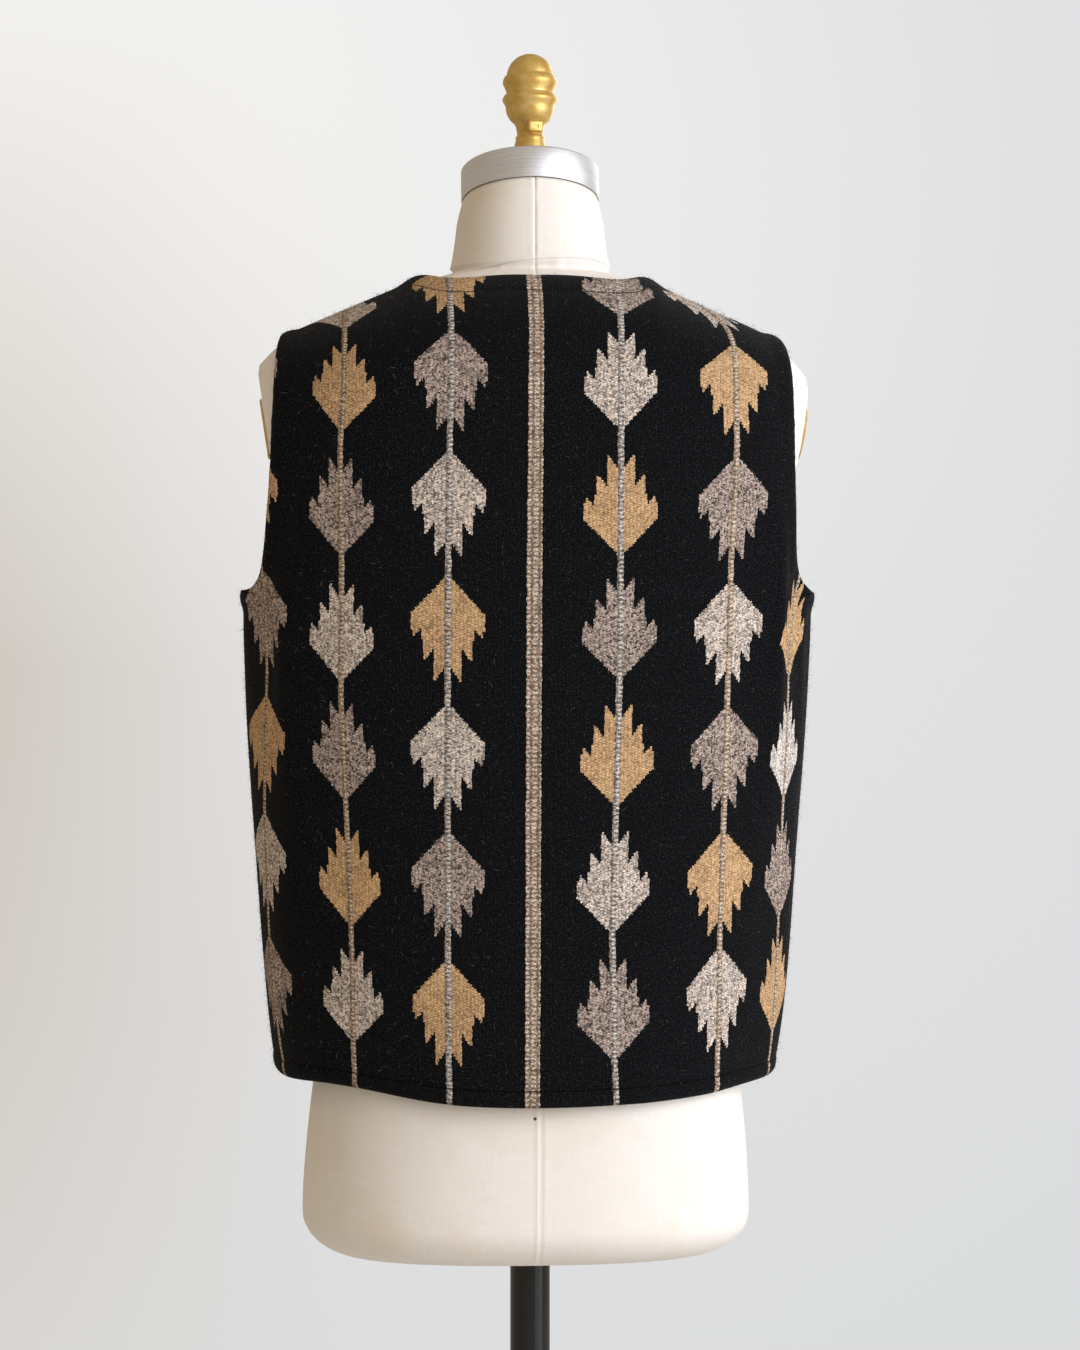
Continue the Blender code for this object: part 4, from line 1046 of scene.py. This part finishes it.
HIP_SHIFT, HIP_SHIFT_Z, HIP_SHIFT_SPAN = 0.0033, 1.10, 0.35
ARM_CUT_SOFTNESS = 0.0012
# Neck: height, half width, half depth, y of the middle, tilt in degrees
NECK = np.array((
    (1.4700, 0.0630, 0.0560, 0.0010, 0.0), (1.4790, 0.0612, 0.0558, 0.0010, 2.0),
    (1.4920, 0.0592, 0.0550, 0.0010, 5.0), (1.5070, 0.0573, 0.0545, 0.0011, 9.0),
    (1.5233, 0.0533, 0.0533, 0.0014, 13.3),
))
NECK_ROUNDNESS = 2.4
# The body grows into the neck over this height, and how sharp the corner between them is
NECK_BLEND, NECK_BLEND_POWER = 0.05, 12
NECK_SEAM_Z, NECK_SEAM_TILT = 1.4635, (-0.11, 0.14)


# %% Points round the form
def form_turns():
    """Angles round the form from centre front to centre front, closer together at the seams."""
    turns = list(np.linspace(0, 2 * math.pi, 133))
    for seam in (0.0, math.pi / 2, math.pi, 1.5 * math.pi, 2 * math.pi):
        for off in (0.0008, 0.0035, 0.008, 0.014, 0.022):
            turns.extend((seam - off, seam + off))
    return np.array(sorted(t for t in turns if 0 <= t <= 2 * math.pi)) - math.pi / 2


TURNS = form_turns()


def form_ridge(x):
    """Centre and radius of the form's shoulder roll at |x|."""
    height, radius = ridge_of(np.asarray(x, float))
    past_tip = np.maximum(x - TIP_START, 0.0)
    return height - radius, np.maximum(radius - UNDER_CLOTH - TIP_DROP * past_tip ** 2, 0.001)


def body_ring(z, inset=0.0):
    """A level ring of the form below its neck."""
    half, back, front, middle_y, power = smooth(FORM_SECTIONS, max(z, FORM_BOTTOM))[0]
    half -= inset
    reaches = np.linspace(0, half, 800)
    centre, radius = form_ridge(reaches)
    reach = reaches[centre + radius >= z][-1]
    side, along = np.cos(TURNS), np.sin(TURNS)
    x = np.copysign(reach * np.abs(side) ** (2 / power), side)
    depth = np.where(along > 0, back, front) - inset
    y = depth * (1 - np.minimum(np.abs(x) / half, 1) ** power) ** (1 / power)
    centre, radius = form_ridge(np.abs(x))
    rise = np.clip((z - centre) / radius, 0, 1)
    y = np.copysign(y * np.sqrt(1 - rise * rise), along)
    own, direction = np.hypot(x, y), np.arctan2(y, x)
    closeness = max(0.0, 1 - (NECK[0, 0] - z) / NECK_BLEND)
    neck = closeness / np.hypot(np.cos(direction) / NECK[0, 1], np.sin(direction) / NECK[0, 2])
    own = (own ** NECK_BLEND_POWER + neck ** NECK_BLEND_POWER) ** (1 / NECK_BLEND_POWER)
    x, y = own * np.cos(direction), middle_y + own * np.sin(direction)
    if z > ARM_CUT_FLOOR:
        cut = np.where(x > 0, ARM_CUT_X[1], ARM_CUT_X[-1]) + ARM_CUT_LEAN * (z - ARM_CUT_Z)
        past = np.abs(x) - cut
        x = np.copysign(cut + (past - np.sqrt(past ** 2 + ARM_CUT_SOFTNESS ** 2)) / 2, x)
    x = x + HIP_SHIFT * min(max((HIP_SHIFT_Z - z) / HIP_SHIFT_SPAN, 0), 1)
    return np.stack((x, y, np.full(len(x), z)), axis=1)


def neck_ring(z):
    """A ring of the neck, tilted up at the back."""
    half_width, half_depth, middle_y, tilt = smooth(NECK, z)[0]
    side = np.copysign(np.abs(np.cos(TURNS)) ** (2 / NECK_ROUNDNESS), np.cos(TURNS))
    along = np.copysign(np.sqrt(1 - np.minimum(side ** 2, 1)), np.sin(TURNS)) * half_depth
    tilt = math.radians(tilt)
    return np.stack((side * half_width, middle_y + along * math.cos(tilt),
                     z + along * math.sin(tilt)), axis=1)


print("points in a ring:", len(TURNS))


# %% Rings of the form, and its seams
# The neck seam's groove and tucks: how tall the tucks are, and how far below the seam they reach
TUCK_HEIGHT, TUCKS_FROM, TUCKS_TO, NECK_REACH = 0.0011, 1.450, 1.460, 0.075
# The side seams stop where the form is cut off at the arms
ARM_END_LOW, ARM_END_HIGH = 1.27, 1.42


def form_rings():
    """All rings from the underside to the cap, closest together at the neck seam."""
    rings = []
    for share in (0.18, 0.45, 0.72, 0.9):
        low = body_ring(FORM_BOTTOM, ROUND_INSET)
        rings.append(low * np.array((share, share, 1.0)))
    for t in np.linspace(0, 1, 14) ** 1.7:
        inset = ROUND_INSET * (1 - math.sqrt(max(1 - (1 - t) ** 2, 0)))
        rings.append(body_ring(FORM_BOTTOM + ROUND_HEIGHT * t, inset))
    heights = np.concatenate((np.arange(0.733, 1.40, 0.0075), np.arange(1.403, 1.4550, 0.0028),
                              np.arange(1.4555, 1.4699, 0.0011)))
    rings.extend(body_ring(z) for z in heights)
    rings.extend(neck_ring(z) for z in np.concatenate((np.arange(1.4700, 1.4850, 0.0011),
                                                       np.linspace(1.4865, 1.5233, 16))))
    return np.array(rings)


def groove(distance, width=0.0008, depth=0.0006):
    """Profile of a sewn seam: a fine groove between two small swellings."""
    swelling = 0.0004 * np.exp(-((np.abs(distance) - 0.0024) / 0.0018) ** 2)
    return swelling - depth * np.exp(-(distance / width) ** 2)


def sew(rings):
    """Moves the points of the form in and out for its seams and tucks."""
    x, y, z = rings[..., 0].copy(), rings[..., 1].copy(), rings[..., 2]
    middle_y = np.interp(z, FORM_SECTIONS[:, 0], FORM_SECTIONS[:, 4])
    pucker = 1 + 0.5 * np.sin(z * 410 + 2 * np.sin(z * 97)) * np.sin(z * 61)
    ends = np.abs(y - middle_y) > 0.03
    rings[..., 1] += np.where(ends, np.sign(y - middle_y) * groove(x) * pucker, 0)
    flat_end = (z > ARM_END_LOW) & (z < ARM_END_HIGH)
    sides = (np.abs(y - middle_y) < 0.02) & (np.abs(x) > 0.05) & ~flat_end
    rings[..., 0] += np.where(sides, np.sign(x) * groove(y - middle_y), 0)
    turn = np.arctan2(y, x)
    above_seam = z - NECK_SEAM_Z - NECK_SEAM_TILT[0] * x - NECK_SEAM_TILT[1] * y
    out = groove(above_seam, 0.0010, 0.0013)
    below = (np.clip(-above_seam / 0.003, 0, 1)
             * np.clip((z - TUCKS_FROM) / (TUCKS_TO - TUCKS_FROM), 0, 1))
    tucks = np.sin(turn * 31 + 1.7 * np.sin(turn * 5)) * np.clip(np.sin(turn * 7 + 0.6), 0, 1)
    out += TUCK_HEIGHT * below * tucks
    reach = np.hypot(x, y)
    near_neck = (reach < NECK_REACH) & (z > TUCKS_FROM)
    for axis, place in enumerate((x, y)):
        rings[..., axis] += np.where(near_neck, out * place / np.maximum(reach, 0.01), 0)
    return rings


form_points = sew(form_rings())
print("rings:", form_points.shape)


# %% Mesh of the form
def form_piece(points):
    """Closed mesh through the rings, with a UV map in metres along the linen."""
    rings, count = points.shape[0], points.shape[1] - 1
    steps = np.linalg.norm(np.diff(points, axis=1), axis=2)
    u = np.hstack((np.zeros((rings, 1)), np.cumsum(steps, axis=1)))
    u -= u[:, -1:] / 2
    climb = np.linalg.norm(np.diff(points, axis=0), axis=2).mean(axis=1)
    v = np.concatenate(([0], np.cumsum(climb)))
    faces, corners = [], []
    for i in range(rings - 1):
        for j in range(count):
            after = (j + 1) % count
            faces.append((i * count + j, i * count + after, (i + 1) * count + after,
                          (i + 1) * count + j))
            corners.extend(((u[i, j], v[i]), (u[i, j + 1], v[i]), (u[i + 1, j + 1], v[i + 1]),
                            (u[i + 1, j], v[i + 1])))
    faces.append(tuple(range(count))[::-1])
    faces.append(tuple((rings - 1) * count + j for j in range(count)))
    corners.extend([(0.0, 0.0)] * (2 * count))
    piece = new_piece("linen_form", points[:, :-1], faces)
    piece.data.uv_layers.new(name="linen").data.foreach_set("uv", np.array(corners).ravel())
    face_outwards(piece)
    return piece


linen_form = form_piece(form_points)
print("linen_form:", len(linen_form.data.polygons), "faces")

# %% [markdown]
# ## Linen
# The cover is unbleached linen in plain weave, 16 threads to the centimetre. That is too fine to
# show, so the threads are drawn 1.1 mm apart and shallow. What the eye sees is a cream surface
# with slightly thicker threads here and there, a few faint stains from years of use, and a soft
# edge of light on its lint.

# %% Linen material
THREAD_MM = 1.1
PIN_HOLE_AT, PIN_HOLE_RADIUS = (0.0045, 0.1190, 0.8130), 0.0013
tree, linen_shader, linen = new_material("unbleached linen")
thread_uv = add(tree, "ShaderNodeVectorMath", {"operation": "SCALE"}, Scale=1000.0,
                Vector=add(tree, "ShaderNodeUVMap", {"uv_map": "linen"}).outputs["UV"])
bent = add(tree, "ShaderNodeTexNoise", Vector=thread_uv, Scale=0.02, Detail=2.0)
swayed = add(tree, "ShaderNodeVectorMath", {"operation": "MULTIPLY_ADD"}, in0=bent.outputs["Color"],
             in1=(5.0, 5.0, 0.0), in2=thread_uv)
weave = []
for scale in ((1.0, 0.045, 1.0), (0.045, 1.0, 1.0)):
    along = add(tree, "ShaderNodeVectorMath", {"operation": "MULTIPLY"}, in0=swayed,
                in1=scale)
    weave.append(add(tree, "ShaderNodeTexNoise", Vector=along, Scale=1 / THREAD_MM,
                     Detail=1.0).outputs["Fac"])
crossed = add(tree, "ShaderNodeMath", {"operation": "ADD"}, in0=weave[0], in1=weave[1])
object_place = add(tree, "ShaderNodeTexCoord").outputs["Object"]
stain = add(tree, "ShaderNodeTexNoise", Vector=object_place, Scale=7.0, Detail=4.0, Roughness=0.6)
stained = add(tree, "ShaderNodeMapRange", Value=stain.outputs["Fac"], From_Min=0.52, From_Max=0.75)
cream = add(tree, "ShaderNodeValToRGB", {"stops": ((0.35, "#f0eae2"), (0.65, "#f5f0ea"))},
            Fac=add(tree, "ShaderNodeMath", {"operation": "MULTIPLY"}, in0=crossed,
                    in1=0.5))
pin_hole = add(tree, "ShaderNodeMath", {"operation": "LESS_THAN"}, in1=PIN_HOLE_RADIUS,
               in0=add(tree, "ShaderNodeVectorMath", {"operation": "DISTANCE"}, in0=object_place,
                       in1=PIN_HOLE_AT).outputs["Value"])
# Painted shade: the linen is drawn darker along the groove of the neck seam
seam_gap = add(tree, "ShaderNodeVectorMath", {"operation": "DOT_PRODUCT"}, in0=object_place,
               in1=(-NECK_SEAM_TILT[0], -NECK_SEAM_TILT[1], 1.0))
seam_height = add(tree, "ShaderNodeMath", {"operation": "SUBTRACT"}, in1=NECK_SEAM_Z,
                  in0=seam_gap.outputs["Value"])
seam_away = add(tree, "ShaderNodeMath", {"operation": "ABSOLUTE"}, in0=seam_height)
seam_shade = add(tree, "ShaderNodeMapRange", Value=seam_away, From_Min=0.0003,
                 From_Max=0.0010, To_Min=0.80, To_Max=1.0)
yellowed = add(tree, "ShaderNodeMix", {"data_type": "RGBA"}, in0=stained,
               in6=cream, in7=linear("#ebe0cc")).outputs[2]
pricked = add(tree, "ShaderNodeMix", {"data_type": "RGBA"}, in0=pin_hole, in6=yellowed,
              in7=linear("#5b5046")).outputs[2]
sewn = add(tree, "ShaderNodeVectorMath", {"operation": "SCALE"}, in0=pricked,
           Scale=seam_shade)
linen_bump = add(tree, "ShaderNodeBump", Strength=0.12, Distance=0.0004, Height=crossed)
finish_shader(tree, linen_shader, {"Base Color": sewn, "Normal": linen_bump},
              {"Roughness": 0.85, "Specular IOR Level": 0.25, "Sheen Weight": 0.05,
               "Sheen Roughness": 0.5})
dress(linen_form, linen)
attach(linen_form, "root")
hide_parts("form_torso")
print("linen on the form")

# %% [markdown]
# ## The neck cap
# The neck ends in a spun aluminium cap, a shallow drum that leans forward with the neck. It is
# made as by hand: a cylinder at its size, softened rims, a hollow under it where the linen goes
# in, and a shallow step on top. Then it is tilted and moved to its place, and the move is applied.

# %% Cap and a few modelling helpers
CAP_TILT = math.radians(13.3)
CAP_TOP = Vector((0.0, -0.004, 1.5485))
CAP_RADIUS, CAP_HEIGHT = 0.0545, 0.0255
CAP_WALL, CAP_HOLLOW = 0.0009, 0.0022
CAP_BORDER, CAP_STEP = 0.0035, 0.0004


def edit(piece):
    """Starts editing one piece with nothing selected."""
    select_only(piece)
    bpy.ops.object.mode_set(mode="EDIT")
    bpy.ops.mesh.select_all(action="DESELECT")


def pick(piece, kind, test):
    """Selects the faces or edges whose middle passes a test, and nothing else."""
    bpy.ops.mesh.select_all(action="DESELECT")
    bpy.ops.mesh.select_mode(type=kind)
    mesh = bmesh.from_edit_mesh(piece.data)
    for part in mesh.faces if kind == "FACE" else mesh.edges:
        middle = sum((corner.co for corner in part.verts), Vector()) / len(part.verts)
        if test(middle, part):
            part.select_set(True)
    bmesh.update_edit_mesh(piece.data)


def step_in(border, way):
    """Insets the picked faces by a border, and pushes what is inside it in or out."""
    bpy.ops.mesh.inset(thickness=border)
    bpy.ops.mesh.extrude_region_move(TRANSFORM_OT_translate={"value": way})


def settle(piece, turn, move):
    """Leaves edit mode, turns and moves a piece and applies that to its mesh."""
    bpy.ops.object.mode_set(mode="OBJECT")
    piece.rotation_euler = turn
    piece.location = move
    bpy.ops.object.transform_apply(location=True, rotation=True, scale=True)


def smooth_by_angle(piece, degrees):
    """Smooth shading that keeps edges sharper than an angle."""
    select_only(piece)
    bpy.ops.object.shade_smooth_by_angle(angle=math.radians(degrees))


bpy.ops.object.select_all(action="DESELECT")
bpy.ops.mesh.primitive_cylinder_add(vertices=144, radius=CAP_RADIUS, depth=CAP_HEIGHT,
                                    location=(0, 0, -CAP_HEIGHT / 2))
cap = bpy.context.object
cap.name = "neck_cap"
bpy.ops.object.transform_apply(location=True, rotation=True, scale=True)
edit(cap)
pick(cap, "FACE", lambda middle, face: face.normal.z < -0.9)
step_in(CAP_WALL, (0, 0, CAP_HOLLOW))
pick(cap, "FACE", lambda middle, face: face.normal.z > 0.9)
step_in(CAP_BORDER, (0, 0, -CAP_STEP))
bpy.ops.mesh.inset(thickness=0.0300)
# Height of a rim of the cap, the radius it is softened to, and in how many steps. Picked are the
# level edges that start on the rim.
for rim_z, softened, steps in ((0.0, 0.0012, 4), (-CAP_HEIGHT, 0.0006, 2)):
    pick(cap, "EDGE", lambda middle, edge: abs(edge.verts[0].co.xy.length - CAP_RADIUS) < 1e-5
         and abs(edge.verts[0].co.z - edge.verts[1].co.z) < 1e-5
         and abs(middle.z - rim_z) < 0.001)
    bpy.ops.mesh.bevel(offset=softened, segments=steps, affect="EDGES")
settle(cap, (CAP_TILT, 0, 0), CAP_TOP)
smooth_by_angle(cap, 35)
print("neck_cap:", len(cap.data.polygons), "faces")

# %% [markdown]
# ## Spun aluminium
# The cap was turned on a lathe and rubbed with fine grit while it turned, so its scratches run
# round it. They stretch each highlight up and down, which is what anisotropy does, and a fine
# streaked bump breaks it up. The pattern is turned back by the cap's tilt to follow its axis.

# %% Aluminium material
tree, metal_shader, aluminium = new_material("spun satin aluminium")
axis_place = add(tree, "ShaderNodeMapping", {"vector_type": "TEXTURE"},
                 Vector=add(tree, "ShaderNodeTexCoord").outputs["Object"], Location=CAP_TOP,
                 Rotation=(CAP_TILT, 0.0, 0.0))
streak_place = add(tree, "ShaderNodeVectorMath", {"operation": "MULTIPLY"},
                   in0=axis_place, in1=(24.0, 24.0, 1300.0))
streak = add(tree, "ShaderNodeTexNoise", Vector=streak_place, Scale=1.0, Detail=3.0)
cloud = add(tree, "ShaderNodeTexNoise", Vector=axis_place, Scale=60.0, Detail=3.0)
grey = add(tree, "ShaderNodeValToRGB", {"stops": ((0.3, "#d2d3d6"), (0.7, "#e6e7ea"))},
           Fac=streak.outputs["Fac"])
rough = add(tree, "ShaderNodeMapRange", Value=cloud.outputs["Fac"], To_Min=0.40, To_Max=0.56)
streak_bump = add(tree, "ShaderNodeBump", Strength=0.12, Distance=0.0002,
                  Height=streak.outputs["Fac"])
finish_shader(tree, metal_shader, {"Base Color": grey, "Roughness": rough, "Normal": streak_bump},
              {"Metallic": 1.0, "Anisotropic": 0.35})
dress(cap, aluminium)
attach(cap, "root")
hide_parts("form_neck_cap")
print("cap finished")

# %% [markdown]
# ## The finial
# A cast finial screws the form to its pole. It is a stack of turned shapes: a foot, a neck with a
# block for the set screw, two beads and a dome. A circle is extruded upwards ring by ring and
# resized at each step, as on a lathe. The table gives few points, and a smooth curve through them
# gives the rings. A plane cuts the foot to the slant of the cap.

# %% Finial
FOOT_GAP, TOP_BORDER, TOP_CROWN = 0.0003, 0.0025, 0.00025
# Step, radius, height above the middle of the cap
FINIAL = np.array([(k, *row) for k, row in enumerate((
    (0.0155, -0.0060), (0.0155, 0.0020), (0.0151, 0.0055), (0.0142, 0.0110), (0.0125, 0.0190),
    (0.0113, 0.0245), (0.0116, 0.0262), (0.0104, 0.0278), (0.0106, 0.0320), (0.0121, 0.0365),
    (0.0160, 0.0405), (0.0186, 0.0455), (0.0195, 0.0510), (0.0219, 0.0557), (0.0204, 0.0592),
    (0.0187, 0.0615), (0.0198, 0.0650), (0.0216, 0.0697), (0.0203, 0.0738), (0.0186, 0.0755),
    (0.0179, 0.0785), (0.0167, 0.0818), (0.0150, 0.0848), (0.0125, 0.0876), (0.0092, 0.0900),
    (0.0050, 0.0918),
))])
lathe = smooth(FINIAL, np.linspace(0, len(FINIAL) - 1, 93))
bpy.ops.object.select_all(action="DESELECT")
bpy.ops.mesh.primitive_circle_add(vertices=96, radius=lathe[0, 0], fill_type="NGON",
                                  location=(0, 0, CAP_TOP.z + lathe[0, 1]))
finial = bpy.context.object
finial.name = "finial"
bpy.ops.object.transform_apply(location=True, rotation=True, scale=True)
edit(finial)
bpy.ops.mesh.select_all(action="SELECT")
for (before, low), (after, high) in zip(lathe, lathe[1:]):
    bpy.ops.mesh.extrude_region_move(TRANSFORM_OT_translate={"value": (0, 0, high - low)})
    bpy.ops.transform.resize(value=(after / before, after / before, 1),
                             center_override=(0, 0, CAP_TOP.z + high))
bpy.ops.mesh.inset(thickness=TOP_BORDER)
bpy.ops.transform.translate(value=(0, 0, TOP_CROWN))
bpy.ops.mesh.select_all(action="SELECT")
lift = FOOT_GAP / math.cos(CAP_TILT)
bpy.ops.mesh.bisect(plane_co=(0, CAP_TOP.y, CAP_TOP.z + lift),
                    plane_no=(0, -math.sin(CAP_TILT), math.cos(CAP_TILT)), use_fill=True,
                    clear_inner=True)
bpy.ops.mesh.select_all(action="SELECT")
bpy.ops.mesh.normals_make_consistent(inside=False)
bpy.ops.object.mode_set(mode="OBJECT")
print("finial:", len(finial.data.polygons), "faces, top at", round(max(
    v.co.z for v in finial.data.vertices), 4))

# %% Block for the set screw, joined to the finial
BLOCK_SIZE, BLOCK_TURN = (0.0120, 0.0100, 0.0088), math.radians(15)
BLOCK_OUT, BLOCK_UP = 0.0098, 0.0335
SCREW_BORDER, SCREW_DEPTH = 0.0021, 0.0012
bpy.ops.object.select_all(action="DESELECT")
bpy.ops.mesh.primitive_cube_add(size=1.0, location=(0, 0, 0))
block = bpy.context.object
edit(block)
bpy.ops.mesh.select_all(action="SELECT")
bpy.ops.transform.resize(value=BLOCK_SIZE)
bpy.ops.mesh.bevel(offset=0.0014, segments=3, affect="EDGES")
pick(block, "FACE", lambda middle, face: face.normal.y > 0.99 and face.calc_area() > 4e-5)
step_in(SCREW_BORDER, (0, -SCREW_DEPTH, 0))
settle(block, (0, 0, BLOCK_TURN),
       Matrix.Rotation(BLOCK_TURN, 3, "Z") @ Vector((0, BLOCK_OUT, CAP_TOP.z + BLOCK_UP)))
join = finial.modifiers.new("block", "BOOLEAN")
join.operation, join.solver, join.object = "UNION", "EXACT", block
select_only(finial)
bpy.ops.object.modifier_apply(modifier="block")
bpy.data.objects.remove(block)
smooth_by_angle(finial, 40)
print("finial with its block:", len(finial.data.polygons), "faces")

# %% [markdown]
# ## Gold paint on cast metal
# The finial is a rough sand casting under gold bronze paint. The paint fills the finest grain
# and leaves an orange-peel surface, so highlights break into sparks. Its paint is worn a little
# lighter and darker in patches. The arm plates have the same paint.

# %% Gold paint
tree, gold_shader, gold = new_material("gold bronze paint on cast metal")
cast_place = add(tree, "ShaderNodeTexCoord").outputs["Object"]
sand = add(tree, "ShaderNodeTexNoise", Vector=cast_place, Scale=1500.0, Detail=2.0, Roughness=0.6)
worn_paint = add(tree, "ShaderNodeTexNoise", Vector=cast_place, Scale=120.0, Detail=3.0)
bronze = add(tree, "ShaderNodeValToRGB", {"stops": ((0.32, "#cba552"), (0.5, "#d8b566"),
                                                   (0.7, "#e3c480"))}, Fac=worn_paint.outputs["Fac"])
grit = add(tree, "ShaderNodeMapRange", Value=sand.outputs["Fac"], To_Min=0.30, To_Max=0.50)
gold_bump = add(tree, "ShaderNodeBump", Strength=0.2, Distance=0.0002,
                Height=sand.outputs["Fac"])
finish_shader(tree, gold_shader, {"Base Color": bronze, "Roughness": grit, "Normal": gold_bump},
              {"Metallic": 0.55})
dress(finial, gold)
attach(finial, "root")
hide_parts("form_finial")
for name in ("form_arm_plate_left", "form_arm_plate_right"):
    dress(nodes[name], gold)
print("gold on the finial and the arm plates")

# %% [markdown]
# ## The pole and the base
# Both are the solid model's own pieces: a drawn steel tube and a turned base, dipped in black
# enamel. The enamel is smooth and half glossy, with a faint orange peel and a little dust in the
# reflections.

# %% Black enamel
tree, enamel_shader, enamel = new_material("black enamel on steel")
steel_place = add(tree, "ShaderNodeTexCoord").outputs["Object"]
peel = add(tree, "ShaderNodeTexNoise", Vector=steel_place, Scale=260.0, Detail=2.0)
dust = add(tree, "ShaderNodeTexNoise", Vector=steel_place, Scale=35.0, Detail=5.0, Roughness=0.7)
black = add(tree, "ShaderNodeValToRGB", {"stops": ((0.4, "#08080a"), (0.75, "#17191d"))},
            Fac=dust.outputs["Fac"])
gloss = add(tree, "ShaderNodeMapRange", Value=dust.outputs["Fac"], To_Min=0.18, To_Max=0.32)
peel_bump = add(tree, "ShaderNodeBump", Strength=0.08, Distance=0.0004, Height=peel.outputs["Fac"])
finish_shader(tree, enamel_shader, {"Base Color": black, "Roughness": gloss, "Normal": peel_bump},
              {})
for name in ("form_pole", "form_base"):
    dress(nodes[name], enamel)
print("enamel on the stand")
